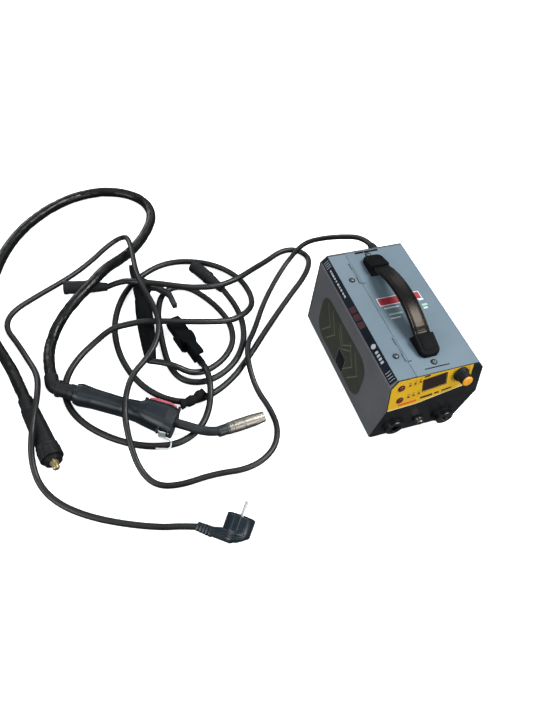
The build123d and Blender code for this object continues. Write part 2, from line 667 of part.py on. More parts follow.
# Spool on its snap hub: the hub's sprung lugs hold the spool in place
spool_axis = (-1, 0, 0)
spool_origin = (partition_x, spool_y, spool_z)
spool_start = 27
spool_length = 45
flange_thick = 2.5
with BuildPart() as spool_hub:
    spool_end = spool_start + spool_length
    turned(spool_origin, spool_axis, [
        (0, 0), (0, 18), (4, 18), (5, 13), (spool_start - 0.5, 12), (spool_start - 0.5, spool_bore - 0.1),
        (spool_end + 0.4, spool_bore - 0.1), (spool_end + 0.4, 9.6), (spool_end + 1.4, 9.6),
        (spool_end + 3.4, 7), (spool_end + 3.4, 0),
    ])
    slot_x = partition_x - spool_end
    block((slot_x - 5, slot_x + 14), (spool_y - 2, spool_y + 2), (spool_z - 12, spool_z + 12), Mode.SUBTRACT)
spool_hub.part.label = "spool_hub"
export_step(spool_hub.part, "parts/spool_hub.step")

with BuildPart() as wire_spool:
    turned(spool_origin, spool_axis, [
        (spool_start, spool_bore), (spool_start, spool_radius), (spool_start + flange_thick, spool_radius),
        (spool_start + flange_thick, drum_radius), (spool_start + spool_length - flange_thick, drum_radius),
        (spool_start + spool_length - flange_thick, spool_radius), (spool_start + spool_length, spool_radius),
        (spool_start + spool_length, spool_bore),
    ])
    for step in range(6):
        turn = radians(60 * step)
        place = (partition_x, spool_y + 33 * cos(turn), spool_z + 33 * sin(turn))
        rod(place, spool_axis, spool_start - 1, spool_start + spool_length + 1, 7, Mode.SUBTRACT)
wire_spool.part.label = "wire_spool"
export_step(wire_spool.part, "parts/wire_spool.step")

with BuildPart() as wire_winding:
    ring(
        spool_origin, spool_axis, spool_start + flange_thick, spool_start + spool_length - flange_thick,
        winding_radius, drum_radius,
    )
wire_winding.part.label = "wire_winding"
export_step(wire_winding.part, "parts/wire_winding.step")

# Wire feeder: plate with inlet and outlet guides, geared motor on the plate's back with four standoffs to the
# partition, grooved drive roll and sprung pressure arm
plate_x = (wire_x + 5.5, wire_x + 10)
drive_place = (wire_x, drive_y, drive_z)
pivot_place = (wire_x, *arm_pivot)
roller_place = (wire_x, drive_y, roller_z)
with BuildPart() as feeder_plate:
    block(plate_x, (-104, -36), (12, 72))
    block((wire_x - 6, plate_x[0]), (-104, -92), (wire_z - 7, wire_z + 7))
    block((wire_x - 5, plate_x[0]), (-46, -36), (wire_z - 5, wire_z + 5))
    rod((wire_x, 0, wire_z), (0, 1, 0), -105, -35, 1.5, Mode.SUBTRACT)
    rod(drive_place, (1, 0, 0), 5, 11, 6, Mode.SUBTRACT)
    rod(pivot_place, (1, 0, 0), -10.2, 6, 3)
feeder_plate.part.label = "feeder_plate"
export_step(feeder_plate.part, "parts/feeder_plate.step")

with BuildPart() as feed_motor:
    block((plate_x[1], wire_x + 30), (drive_y - 19, drive_y + 19), (drive_z - 18, drive_z + 18))
    rod(drive_place, (1, 0, 0), 30, 72, 17)
    rod(drive_place, (1, 0, 0), 72, 75, 8)
    rod(drive_place, (1, 0, 0), 9, 26, 4 + run_fit, Mode.SUBTRACT)
    for y in (-99, -41):
        for z in (18, 66):
            rod((plate_x[1], y, z), (1, 0, 0), 0, partition_x - plate_x[1], 4)
feed_motor.part.label = "feed_motor"
export_step(feed_motor.part, "parts/feed_motor.step")

with BuildPart() as drive_roll:
    turned(drive_place, (1, 0, 0), [
        (-9, 0), (-9, 5), (-8, 6), (-4, 6), (-4, drive_radius), (-0.6, drive_radius), (0, drive_radius - 0.6),
        (0.6, drive_radius), (4, drive_radius), (4, 4), (25, 4), (25, 0),
    ])
drive_roll.part.label = "drive_roll"
export_step(drive_roll.part, "parts/drive_roll.step")

arm_x = (wire_x - 9.5, wire_x - 4.8)
arm_joints = [arm_pivot, (drive_y, roller_z), arm_end]
stud_x = wire_x - 3
stud_z = arm_end[1] + 7.5
with BuildPart() as pressure_arm:
    for start, end in zip(arm_joints, arm_joints[1:]):
        run = Vector(*end) - Vector(*start)
        with BuildSketch(Plane.YZ.offset(arm_x[0])) as cheek:
            with Locations(((start[0] + end[0]) / 2, (start[1] + end[1]) / 2)):
                SlotCenterToCenter(run.length, 14, rotation=degrees(atan2(run.Y, run.X)))
        extrude(cheek.sketch, amount=arm_x[1] - arm_x[0])
    rod(pivot_place, (1, 0, 0), -4.8, 5.2, 6)
    rod(pivot_place, (1, 0, 0), -11, 6, 3 + run_fit, Mode.SUBTRACT)
    rod(roller_place, (1, 0, 0), -4.8, 4.4, 2.5)
    block((arm_x[0], wire_x + 4), (arm_end[0] - 7, arm_end[0] + 7), (arm_end[1] - 4, stud_z))
    rod((stud_x, arm_end[0], stud_z), (0, 0, 1), 0, 18, 2.5)
pressure_arm.part.label = "pressure_arm"
export_step(pressure_arm.part, "parts/pressure_arm.step")

with BuildPart() as pressure_roller:
    turned(roller_place, (1, 0, 0), [
        (-4.4, 2.5 + run_fit), (-4.4, 6), (-4, 6), (-4, roller_radius), (4, roller_radius),
        (4, 2.5 + run_fit),
    ])
pressure_roller.part.label = "pressure_roller"
export_step(pressure_roller.part, "parts/pressure_roller.step")

with BuildPart() as tension_knob:
    turned((stud_x, arm_end[0], stud_z), (0, 0, 1), [
        (0.4, 2.5 + run_fit), (0.4, 6), (2, 8), (16, 8), (16, 6.5), (24, 6), (26, 4.5), (26, 0), (19, 0),
        (19, 2.5 + run_fit),
    ])
    for step in range(8):
        turn = 2 * pi * step / 8
        place = (stud_x + 8.6 * cos(turn), arm_end[0] + 8.6 * sin(turn), stud_z)
        rod(place, (0, 0, 1), 0, 17, 1.4, Mode.SUBTRACT)
tension_knob.part.label = "tension_knob"
export_step(tension_knob.part, "parts/tension_knob.step")

# Strap handle: arched strap clamped in two low end caps that are round in plan
strap_foot = (80, 156)
strap_bend = (52, 167.5)
strap_crown = 176.5
strap_slope = (strap_bend[1] - strap_foot[1]) / (strap_foot[0] - strap_bend[0])
handle_plane = Plane((0, handle_y, 0), x_dir=(0, 1, 0), z_dir=(1, 0, 0))
cap_reach = (63, 102)
groove_count = 4


def draw_strap():
    with BuildSketch(handle_plane.offset(-strap_width / 2)) as band:
        with BuildLine():
            Line((-strap_foot[0], strap_foot[1]), (-strap_bend[0], strap_bend[1]))
            ThreePointArc((-strap_bend[0], strap_bend[1]), (0, strap_crown), strap_bend)
            Line(strap_bend, strap_foot)
        trace(line_width=strap_thick)
    return band.sketch


with BuildPart() as handle_ends:
    for end in (-1, 1):
        with BuildSketch(Plane((0, handle_y, height))) as footprint:
            with Locations((0, end * (sum(cap_reach) / 2))):
                Rectangle(cap_width, cap_reach[1] - cap_reach[0])
            fillet(footprint.vertices().sort_by(lambda corner: end * corner.Y)[-2:], 9)
        extrude(footprint.sketch, amount=20)
    for end in (-1, 1):
        slab(handle_plane.offset(-cap_width), [
            (end * cap_reach[0], height), (end * 71, height + 15.5), (end * 84, height + 12),
            (end * 97, height + 8.5), (end * 105, height + 5), (end * 110, height + 40),
            (end * 40, height + 40), (end * 40, height),
        ], 2 * cap_width, Mode.SUBTRACT)
    upper = handle_ends.edges().filter_by(lambda edge: edge.center().Z > height + 3)
    fillet(upper.filter_by(lambda edge: abs(edge.center().X) > 3), 2)
    extrude(draw_strap(), amount=strap_width, mode=Mode.SUBTRACT)
handle_ends.part.label = "handle_ends"
export_step(handle_ends.part, "parts/handle_ends.step")

with BuildPart() as handle_grip:
    extrude(draw_strap(), amount=strap_width)
    for groove in range(groove_count):
        reach = 59 + 3.2 * groove
        drop = strap_slope * (reach - strap_bend[0])
        surface = strap_bend[1] - drop + strap_thick / 2 * hypot(1, strap_slope)
        y = handle_y - reach
        block((-strap_width, strap_width), (y - 0.6, y + 0.6), (surface - 0.9, surface + 9), Mode.SUBTRACT)
handle_grip.part.label = "handle_grip"
export_step(handle_grip.part, "parts/handle_grip.step")

# Torch handle: ruled loft through rounded sections, with a trigger pocket between two stops and lugs for
# the hook
torch_sections = [
    (0, 0, 30, 29), (7, 0, 33, 31), (28, 0, 29, 29), (72, 0, 27, 28), (96, 0.5, 30, 32), (107, 3, 40, 36),
    (140, 0.5, 46, 37), (torch_length, -2.5, 44, 33),
]
trigger_z = (105.5, 147.5)
trigger_pivot = (19, 145)
trigger_stops = ((98.5, 103.4), (149.6, 153))
hook_pivot = (-25.5, 7)
hook_lugs = ((133, 136), (148, 151))


def torch_block(x, y, z, mode=Mode.ADD):
    corners = [(x[0], y[0]), (x[1], y[0]), (x[1], y[1]), (x[0], y[1])]
    slab(torch_plane.offset(z[0]), corners, z[1] - z[0], mode)


with BuildPart() as torch_handle:
    for along, middle, across, tall in torch_sections:
        with BuildSketch(torch_plane.offset(along)):
            with Locations((middle, 0)):
                RectangleRounded(across, tall, 0.42 * min(across, tall))
    loft(ruled=True)
    for lug in hook_lugs:
        torch_block((hook_pivot[0] - 3, -18), (hook_pivot[1] - 3, hook_pivot[1] + 3), lug)
    for stop in trigger_stops:
        torch_block((8, 25.5), (-5, 5), stop)
    torch_block((10.5, 40), (-6.5, 6.5), (trigger_z[0] - 1.5, trigger_z[1] + 1.5), Mode.SUBTRACT)
    pin_base = torch_plane.from_local_coords((trigger_pivot[0], 0, trigger_pivot[1]))
    rod(pin_base, torch_plane.y_dir, -10, 10, 1.5 + run_fit, Mode.SUBTRACT)
    hook_base = torch_plane.from_local_coords((hook_pivot[0], hook_pivot[1], 0))
    rod(hook_base, torch_dir, hook_lugs[0][0] - 1, hook_lugs[1][1] + 1, 1.2 + run_fit, Mode.SUBTRACT)
torch_handle.part.label = "torch_handle"
export_step(torch_handle.part, "parts/torch_handle.step")

trigger_plane = Plane(
    torch_plane.from_local_coords((0, -6, 0)), x_dir=torch_dir, z_dir=torch_plane.y_dir,
)
with BuildPart() as torch_trigger:
    slab(trigger_plane, [
        (trigger_z[0], 16), (trigger_z[1], 16), (trigger_z[1], 24), (138, 27.5), (118, 28.5),
        (trigger_z[0], 26),
    ], 12)
    rod(pin_base, torch_plane.y_dir, -9.6, 9.6, 1.5)
torch_trigger.part.label = "torch_trigger"
export_step(torch_trigger.part, "parts/torch_trigger.step")

# Hook: a plate hanging from a pin between the lugs, with a wire bent back on itself at its foot
hook_drop = 15
hook_bends = [(-25.5, 139), (-27.5, 157), (-40, 160), (-46, 140)]
with BuildPart() as torch_hook:
    rod(hook_base, torch_dir, hook_lugs[0][0] - 0.6, hook_lugs[1][1] + 0.6, 1.2)
    plate_side = (hook_pivot[0] - 0.8, hook_pivot[0] + 0.8)
    plate_foot = hook_pivot[1] - hook_drop
    torch_block(plate_side, (plate_foot, hook_pivot[1]), (hook_lugs[0][1] + 0.5, hook_lugs[1][0] - 0.5))
    corners = [torch_plane.from_local_coords((side, plate_foot + 1.2, along)) for side, along in hook_bends]
    with BuildLine() as wire_bend:
        FilletPolyline(*corners, radius=5)
    with BuildSketch(Plane(wire_bend.line @ 0, z_dir=wire_bend.line % 0)):
        Circle(1.2)
    sweep()
torch_hook.part.label = "torch_hook"
export_step(torch_hook.part, "parts/torch_hook.step")

# Collar behind the handle: a sleeve with a lip, and a bent spigot that the hose goes onto
with BuildPart() as torch_collar:
    turned(torch_rear, torch_dir, [
        (-30, 0), (-30, 11.8), (-29, 13.2), (-25.5, 13.2), (-24.5, 12), (-11, 11.2), (-10, 12.5),
        (-2, 12.5), (0, 11.5), (0, 0),
    ])
    inside, bend = [torch_plane.from_local_coords((0, 0, along)) for along in (-20, -37.5)]
    with BuildLine() as elbow:
        FilletPolyline(inside, bend, collar_end, radius=12.5)
    with BuildSketch(Plane(elbow.line @ 0, z_dir=elbow.line % 0)):
        Circle(10.5)
    sweep()
torch_collar.part.label = "torch_collar"
export_step(torch_collar.part, "parts/torch_collar.step")

# Swan neck with its insulator ring, nozzle seat and tip holder
with BuildPart() as swan_neck:
    with BuildLine() as neck_line:
        FilletPolyline(torch_front, neck_bend, nozzle_start, radius=60)
    with BuildSketch(Plane(neck_line.line @ 0, z_dir=neck_line.line % 0)):
        Circle(neck_radius)
    sweep()
    turned(nozzle_start, nozzle_dir, [
        (-18, 0), (-18, 7.4), (-16, 8.4), (-5, 8.4), (-4.6, 8), (-4, 8), (-3.6, 8.8), (0, 8.8), (0, 7.2),
        (14, 7.2), (14, 5.5), (22, 5.5), (22, 0),
    ])
swan_neck.part.label = "swan_neck"
export_step(swan_neck.part, "parts/swan_neck.step")

slot_count = 6
with BuildPart() as gas_nozzle:
    turned(nozzle_start, nozzle_dir, [
        (0, 7.25), (0, 9.3), (2, 9.3), (2.4, 8.8), (3.4, 8.8), (3.8, 9.3), (5.8, 9.3), (6.2, 8.8),
        (7.2, 8.8), (7.6, 9.5), (23, 9.7), (23.6, 9.2), (24.4, 9.2), (25, 9.7), (40, 9.5),
        (nozzle_length, 8.1), (nozzle_length, 6.9), (40, 7.4), (15, 7.6), (15, 7.25),
    ])
    for step in range(slot_count):
        turn = 2 * pi * step / slot_count
        outward = Plane(nozzle_start, x_dir=(0, 0, 1), z_dir=nozzle_dir)
        place = outward.from_local_coords((9.3 * cos(turn), 9.3 * sin(turn), 0))
        rod(place, nozzle_dir, 41, nozzle_length + 1, 1.3, Mode.SUBTRACT)
gas_nozzle.part.label = "gas_nozzle"
export_step(gas_nozzle.part, "parts/gas_nozzle.step")

with BuildPart() as contact_tip:
    turned(nozzle_start, nozzle_dir, [(22, 0), (22, 4), (46, 4), (53, 2.5), (53, 0.8), (48, 0.8), (48, 0)])
contact_tip.part.label = "contact_tip"
export_step(contact_tip.part, "parts/contact_tip.step")

# Torch plug: grip body, loose ribbed nut and brass pins
plug_dir = (torch_plug_tip - torch_plug_rear).normalized()
plug_length = (torch_plug_tip - torch_plug_rear).length
plug_plane = Plane(torch_plug_rear, x_dir=(0, 0, 1), z_dir=plug_dir)
nut_span = (93.4, 110)
with BuildPart() as euro_plug_body:
    turned(torch_plug_rear, plug_dir, [
        (0, 0), (0, 10.6), (16, 11), (18, 12.5), (22, 12.5), (24, 13), (86, 14.6), (88, 15.8), (92, 15.8),
        (93, 15), (93, 12.5), (116, 12.5), (116, 0),
    ])
euro_plug_body.part.label = "euro_plug_body"
export_step(euro_plug_body.part, "parts/euro_plug_body.step")

with BuildPart() as euro_plug_nut:
    turned(torch_plug_rear, plug_dir, [
        (nut_span[0], 12.5 + run_fit), (nut_span[0], 15.5), (nut_span[0] + 1.5, 16.7),
        (nut_span[1] - 1, 16.7), (nut_span[1], 16), (nut_span[1], 12.5 + run_fit),
    ])
    for step in range(12):
        turn = 2 * pi * step / 12
        place = plug_plane.from_local_coords((17.6 * cos(turn), 17.6 * sin(turn), 0))
        rod(place, plug_dir, nut_span[0] - 1, nut_span[1] + 1, 1.8, Mode.SUBTRACT)
euro_plug_nut.part.label = "euro_plug_nut"
export_step(euro_plug_nut.part, "parts/euro_plug_nut.step")

with BuildPart() as euro_plug_pins:
    turned(torch_plug_rear, plug_dir, [
        (116, 0), (116, 6.5), (118, 6.5), (118, 5), (126, 5), (plug_length, 4), (plug_length, 0),
    ])
    for offset in (-8.5, 8.5):
        rod(plug_plane.from_local_coords((offset, 0, 0)), plug_dir, 116, 123, 1.6)
euro_plug_pins.part.label = "euro_plug_pins"
export_step(euro_plug_pins.part, "parts/euro_plug_pins.step")

# Lead plugs: rubber sleeve over a bayonet pin that sits back inside the collar
lead_plugs = {
    "earth_plug": (earth_plug_mouth, earth_plug_end),
    "electrode_plug": (electrode_plug_mouth, electrode_plug_end),
}
for name, (mouth, end) in lead_plugs.items():
    run = end - mouth
    with BuildPart() as lead_plug:
        turned(mouth, run, [
            (0, 7.6), (0, 11.6), (6, 11.8), (7, 11), (34, 11), (36, 11.6), (40, 11.6), (42, 10),
            (run.length, 6.8), (run.length, 0), (22, 0), (22, 7.6),
        ])
    lead_plug.part.label = name
    export_step(lead_plug.part, f"parts/{name}.step")

with BuildPart() as lead_plug_pins:
    for mouth, end in lead_plugs.values():
        turned(mouth, end - mouth, [(3, 0), (3, 3.6), (4, 4.5), (22, 4.5), (22, 0)])
lead_plug_pins.part.label = "lead_plug_pins"
export_step(lead_plug_pins.part, "parts/lead_plug_pins.step")

# Mains plug: round head with its pins up, flat arm and ribbed strain relief
mains_plug_dir = (mains_plug_middle - mains_plug_entry).normalized()
mains_arm = (mains_plug_middle - mains_plug_entry).length
mains_arm_plane = Plane(mains_plug_entry, x_dir=Vector(0, 0, 1).cross(mains_plug_dir), z_dir=mains_plug_dir)
pin_line = Vector(0.46, 0.888, 0)
plug_head_top = 33
with BuildPart() as mains_plug:
    turned(mains_plug_entry, mains_plug_dir, [
        (0, 0), (0, 6), (4, 6), (4.5, 5.2), (6, 5.2), (6.5, 6.4), (10, 6.4), (10.5, 5.4), (12, 5.4),
        (12.5, 6.8), (16, 6.8), (16.5, 5.8), (18, 5.8), (18.5, 7.2), (26, 7.2), (26, 0),
    ])
    with BuildSketch(mains_arm_plane.offset(25)):
        with Locations((0, 0.4)):
            RectangleRounded(15, 14, 5)
    with BuildSketch(mains_arm_plane.offset(50)):
        with Locations((0, 3.5)):
            RectangleRounded(30, 21, 5)
    loft(ruled=True)
    turned((mains_plug_middle.X, mains_plug_middle.Y, 0), (0, 0, 1), [
        (1, 0), (1, 14), (5, 17.5), (15, 18.6), (plug_head_top - 1, 19), (plug_head_top, 18.2),
        (plug_head_top, 0),
    ])
    for side in (-1, 1):
        pin = mains_plug_middle + pin_line * (side * 9.5)
        pin_foot = (pin.X, pin.Y, plug_head_top - 1)
        turned(pin_foot, (0, 0, 1), [(0, 0), (0, 2.4), (18.5, 2.4), (20, 1.4), (20, 0)])
mains_plug.part.label = "mains_plug"
export_step(mains_plug.part, "parts/mains_plug.step")

# Earth clamp lying on its lower arm: ears and pin below, sprung upper arm between the ears
clamp_dir = (clamp_front - clamp_tail).normalized()
clamp_length = (clamp_front - clamp_tail).length
clamp_side = Vector(0, 0, 1).cross(clamp_dir)
clamp_plane = Plane(clamp_tail, x_dir=clamp_dir, z_dir=-clamp_side)
clamp_pivot = (56, 15)
cord_seat_z = 9


def clamp_slab(outline, across, mode=Mode.ADD):
    # a side outline, as distance from the tail and height, across part of the clamp's width
    slab(clamp_plane.offset(across[0]), outline, across[1] - across[0], mode)


with BuildPart() as clamp_lower_jaw:
    clamp_slab([
        (38, 0.5), (clamp_length - 4, 0.5), (clamp_length, 4), (clamp_length, 13), (clamp_length - 8, 13),
        (clamp_length - 16, 9), (62, 6), (38, 6),
    ], (-11, 11))
    clamp_slab([(12, 0.5), (40, 0.5), (40, 6), (12, 6)], (-7, 7))
    for across in ((-14, -11.4), (11.4, 14)):
        clamp_slab([(40, 0.5), (72, 0.5), (64, 19), (58, 22), (52, 22), (46, 18)], across)
        clamp_slab([(40, 0.5), (72, 0.5), (72, 6), (40, 6)], (min(across[0], 10), max(across[1], -10)))
    turned(clamp_tail + Vector(0, 0, cord_seat_z), clamp_dir, [(0, 0), (0, 5.8), (10, 5.8), (20, 5), (20, 0)])
    rod(clamp_plane.from_local_coords((clamp_pivot[0], clamp_pivot[1], 0)), clamp_side, -14, 14, 3)
clamp_lower_jaw.part.label = "clamp_lower_jaw"
export_step(clamp_lower_jaw.part, "parts/clamp_lower_jaw.step")

with BuildPart() as clamp_upper_jaw:
    clamp_slab([
        (40, 17), (46, 14), (52, 10), (62, 10.5), (clamp_length - 16, 13.4), (clamp_length, 13.4),
        (clamp_length, 18), (clamp_length - 12, 22), (64, 22), (40, 25.5),
    ], (-11, 11))
    clamp_slab([(8, 24.5), (34, 20.5), (44, 16), (44, 25), (34, 27), (10, 30)], (-7, 7))
    pivot_point = clamp_plane.from_local_coords((clamp_pivot[0], clamp_pivot[1], 0))
    rod(pivot_point, clamp_side, -12, 12, 3 + run_fit, Mode.SUBTRACT)
clamp_upper_jaw.part.label = "clamp_upper_jaw"
export_step(clamp_upper_jaw.part, "parts/clamp_upper_jaw.step")

# Electrode holder: swelling handle, forked head with a pin, fixed jaw, and a lever with the moving jaw
holder_run = holder_head - holder_tail
holder_flat = Vector(holder_run.X, holder_run.Y, 0).normalized()
holder_across = holder_flat.cross(Vector(0, 0, 1))
holder_plane = Plane((holder_head.X, holder_head.Y, 0), x_dir=holder_across, z_dir=(0, 0, 1))
lever_pivot = (8, -5)
lever_z = (14, 24)
ear_z = (10, 28)
holder_pin = holder_plane.from_local_coords((lever_pivot[0], lever_pivot[1], 0))
with BuildPart() as holder_handle:
    turned(holder_tail, holder_run, [
        (0, 0), (0, 7.5), (4, 9), (30, 11.4), (66, 13.6), (104, 14), (126, 12.8), (136, 10.5), (138, 9),
        (138, 0),
    ])
    head = [(-11, -32), (11, -32), (12, -15.5), (-12, -15.5)]
    slab(holder_plane.offset(ear_z[0]), head, ear_z[1] - ear_z[0])
    ear = [(-12, -16), (12, -16), (17, -8), (16, 2), (8, 8), (-8, 8), (-13, 0)]
    slab(holder_plane.offset(ear_z[0]), ear, lever_z[0] - ear_z[0] - 0.4)
    slab(holder_plane.offset(lever_z[1] + 0.4), ear, ear_z[1] - lever_z[1] - 0.4)
    rod(holder_pin, (0, 0, 1), ear_z[0] + 1, ear_z[1] - 1, 2.5)
holder_handle.part.label = "holder_handle"
export_step(holder_handle.part, "parts/holder_handle.step")

with BuildPart() as holder_jaw:
    slab(holder_plane.offset(lever_z[0] - 0.4), [
        (-11, -15.5), (-6.2, -15.5), (-6.2, 5), (-9.2, 46), (-15, 46), (-15, 38), (-12.5, 8),
    ], lever_z[1] - lever_z[0] + 0.8)
holder_jaw.part.label = "holder_jaw"
export_step(holder_jaw.part, "parts/holder_jaw.step")

with BuildPart() as holder_lever:
    with BuildSketch(holder_plane.offset(lever_z[0])):
        with BuildLine():
            Polyline((-4.2, -10), (-5.7, 5), (-8.7, 46), (-5.5, 46), (2, 8), (14, 4), (15, -10), close=True)
        make_face()
        with BuildLine() as lever_line:
            FilletPolyline((4, -4), (26, -8), (46, -26), (52, -54), radius=14)
        trace(lever_line.line, line_width=7.5)
    extrude(amount=lever_z[1] - lever_z[0])
    rod(holder_pin, (0, 0, 1), lever_z[0] - 1, lever_z[1] + 1, 2.5 + run_fit, Mode.SUBTRACT)
holder_lever.part.label = "holder_lever"
export_step(holder_lever.part, "parts/holder_lever.step")

# Cords and hose: straight runs joined by arcs as large as the runs allow
arc_share = 0.45


def corner_radii(route):
    points = [Vector(*point) for point in route]
    radii = []
    for before, corner, after in zip(points, points[1:], points[2:]):
        first = corner - before
        second = after - corner
        turn = radians(first.get_angle(second))
        radii.append(arc_share * min(first.length, second.length) / tan(turn / 2))
    return radii


cords = {
    "mains_cord": (mains_route, mains_diameter),
    "torch_hose": (hose_route, hose_diameter),
    "earth_cord": (earth_route, lead_diameter),
    "electrode_cord": (electrode_route, lead_diameter),
}
for name, (route, diameter) in cords.items():
    radii = corner_radii(route)
    with BuildPart() as cord:
        with BuildLine() as path:
            FilletPolyline(*route, radius=radii)
        with BuildSketch(Plane(path.line @ 0, z_dir=path.line % 0)):
            Circle(diameter / 2)
        sweep()
    cord_length = path.wires()[0].length
    plain_volume = pi * diameter ** 2 / 4 * cord_length
    print(name, "radii", " ".join(f"{radius:.0f}" for radius in radii))
    volume_share = cord.part.volume / plain_volume
    print(name, f"length {cord_length:.0f} mm, volume over section times length {volume_share:.4f}")
    cord.part.label = name
    export_step(cord.part, f"parts/{name}.step")
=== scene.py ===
import math

import bmesh
import bpy
from mathutils import Matrix, Vector, noise


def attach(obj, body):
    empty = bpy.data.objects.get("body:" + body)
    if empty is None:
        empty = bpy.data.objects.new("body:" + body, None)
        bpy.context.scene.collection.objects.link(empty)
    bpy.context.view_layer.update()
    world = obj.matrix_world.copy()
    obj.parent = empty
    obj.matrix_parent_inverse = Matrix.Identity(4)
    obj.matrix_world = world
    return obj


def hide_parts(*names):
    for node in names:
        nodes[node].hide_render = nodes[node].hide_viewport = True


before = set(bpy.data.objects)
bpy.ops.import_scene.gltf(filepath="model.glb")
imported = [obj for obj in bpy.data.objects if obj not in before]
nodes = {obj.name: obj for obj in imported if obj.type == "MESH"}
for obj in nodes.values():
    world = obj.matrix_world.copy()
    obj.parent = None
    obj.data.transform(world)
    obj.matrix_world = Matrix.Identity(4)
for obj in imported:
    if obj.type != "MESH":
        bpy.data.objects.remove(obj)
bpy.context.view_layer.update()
print("frame loaded:", len(nodes), "nodes")


def mm(x, y, z):  # millimetres of the drawing to Blender's metres
    return Vector((x, y, z)) * 0.001


def srgb(hexText):  # hex colour to linear RGBA
    parts = [int(hexText[i:i + 2], 16) / 255 for i in (1, 3, 5)]
    return (*[p / 12.92 if p <= 0.04045 else ((p + 0.055) / 1.055) ** 2.4 for p in parts], 1)


# camera fitted to the case's corners in the photograph, 540 x 720
cameraSet = {
    "place": (-473.76, -527.68, 836.29), "azimuth": -27.79, "elevation": 52.14, "roll": 10.16,
    "focalPixels": 650, "longSide": 720, "middleDrop": 6,
}


def placeCamera(look):
    turn, lift, roll = (math.radians(look[key]) for key in ("azimuth", "elevation", "roll"))
    back = Vector((math.sin(turn) * math.cos(lift), -math.cos(turn) * math.cos(lift), math.sin(lift)))
    right = Vector((0, 0, 1)).cross(back).normalized()
    up = back.cross(right)
    rolledRight = right * math.cos(roll) + up * math.sin(roll)
    rolledUp = up * math.cos(roll) - right * math.sin(roll)
    data = bpy.data.cameras.new("photoCamera")
    data.sensor_width = 36
    data.lens = data.sensor_width * look["focalPixels"] / look["longSide"]
    data.shift_y = look["middleDrop"] / look["longSide"]
    data.clip_start = 0.01
    camera = bpy.data.objects.new("photoCamera", data)
    bpy.context.scene.collection.objects.link(camera)
    spin = Matrix((rolledRight, rolledUp, back)).transposed().to_4x4()
    camera.matrix_world = Matrix.Translation(mm(*look["place"])) @ spin
    bpy.context.scene.camera = camera


placeCamera(cameraSet)

# soft studio light: a room that is pale overhead and dark low down, a key box high on the right, whose
# shadows fall to the left, and weaker boxes that fill from above, behind, in front and beside the door
studio = {
    "room": "#f4f6f8", "roomSpan": (-0.1, 0.7), "roomPower": (0.13, 0.32), "skylinePower": 0.97,
    "boxes": [  # name, place, target, side in mm, power in watts
        ("keyBox", (1000, -60, 1900), (-60, 60, 60), 900, 53),
        ("overheadBox", (-900, 300, 2000), (-200, 100, 0), 1200, 6),
        ("backBox", (600, 1500, 1300), (0, 80, 100), 900, 4),
        ("rearBox", (-700, 1800, 600), (0, 125, 70), 1000, 9),
        ("frontBox", (700, -1600, 600), (0, 0, 60), 900, 19),
        ("sideBox", (-1700, -500, 700), (-200, 50, 40), 1000, 18),
    ],
}


def addNode(tree, kind, inputs=(), **settings):
    node = tree.nodes.new(kind)
    for name, value in settings.items():
        setattr(node, name, value)
    for socket, value in dict(inputs).items():
        if isinstance(value, bpy.types.NodeSocket):
            tree.links.new(value, node.inputs[socket])
        else:
            node.inputs[socket].default_value = value
    return node


def lightStudio(look):
    world = bpy.data.worlds.new("paleRoom")
    world.use_nodes = True
    tree = world.node_tree
    background = tree.nodes["Background"]
    background.inputs["Color"].default_value = srgb(look["room"])
    upward = addNode(tree, "ShaderNodeSeparateXYZ", {
        "Vector": addNode(tree, "ShaderNodeTexCoord").outputs["Generated"],
    })
    strength = addNode(tree, "ShaderNodeMapRange", {
        "Value": upward.outputs["Z"], "From Min": look["roomSpan"][0], "From Max": look["roomSpan"][1],
        "To Min": look["roomPower"][0], "To Max": look["roomPower"][1],
    })
    seen = addNode(tree, "ShaderNodeMapRange", {  # what lies beyond the floor is seen as pale as the floor
        "Value": addNode(tree, "ShaderNodeLightPath").outputs["Is Camera Ray"],
        "To Min": strength.outputs["Result"], "To Max": look["skylinePower"],
    })
    tree.links.new(seen.outputs["Result"], background.inputs["Strength"])
    bpy.context.scene.world = world
    for name, place, target, size, power in look["boxes"]:
        data = bpy.data.lights.new(name, "AREA")
        data.size = size * 0.001
        data.energy = power
        light = bpy.data.objects.new(name, data)
        light.location = mm(*place)
        light.rotation_euler = (mm(*target) - mm(*place)).to_track_quat("-Z", "Y").to_euler()
        bpy.context.scene.collection.objects.link(light)
    bpy.context.scene.view_settings.view_transform = "Standard"


lightStudio(studio)
print("camera and light set")

blotchSpan = (0.3, 0.7)  # part of the noise over which one tone of a surface turns into the other
wornSpan = (0.985, 0.85)  # cosine of a softened edge's lean from its face where wear starts and is full
finishSockets = {  # a finish's own words for the shader's constants
    "ior": "IOR", "specular": "Specular IOR Level", "tint": "Specular Tint", "metallic": "Metallic",
    "coat": "Coat Weight", "coatRoughness": "Coat Roughness",
    "glow": "Emission Color", "glowPower": "Emission Strength",
}


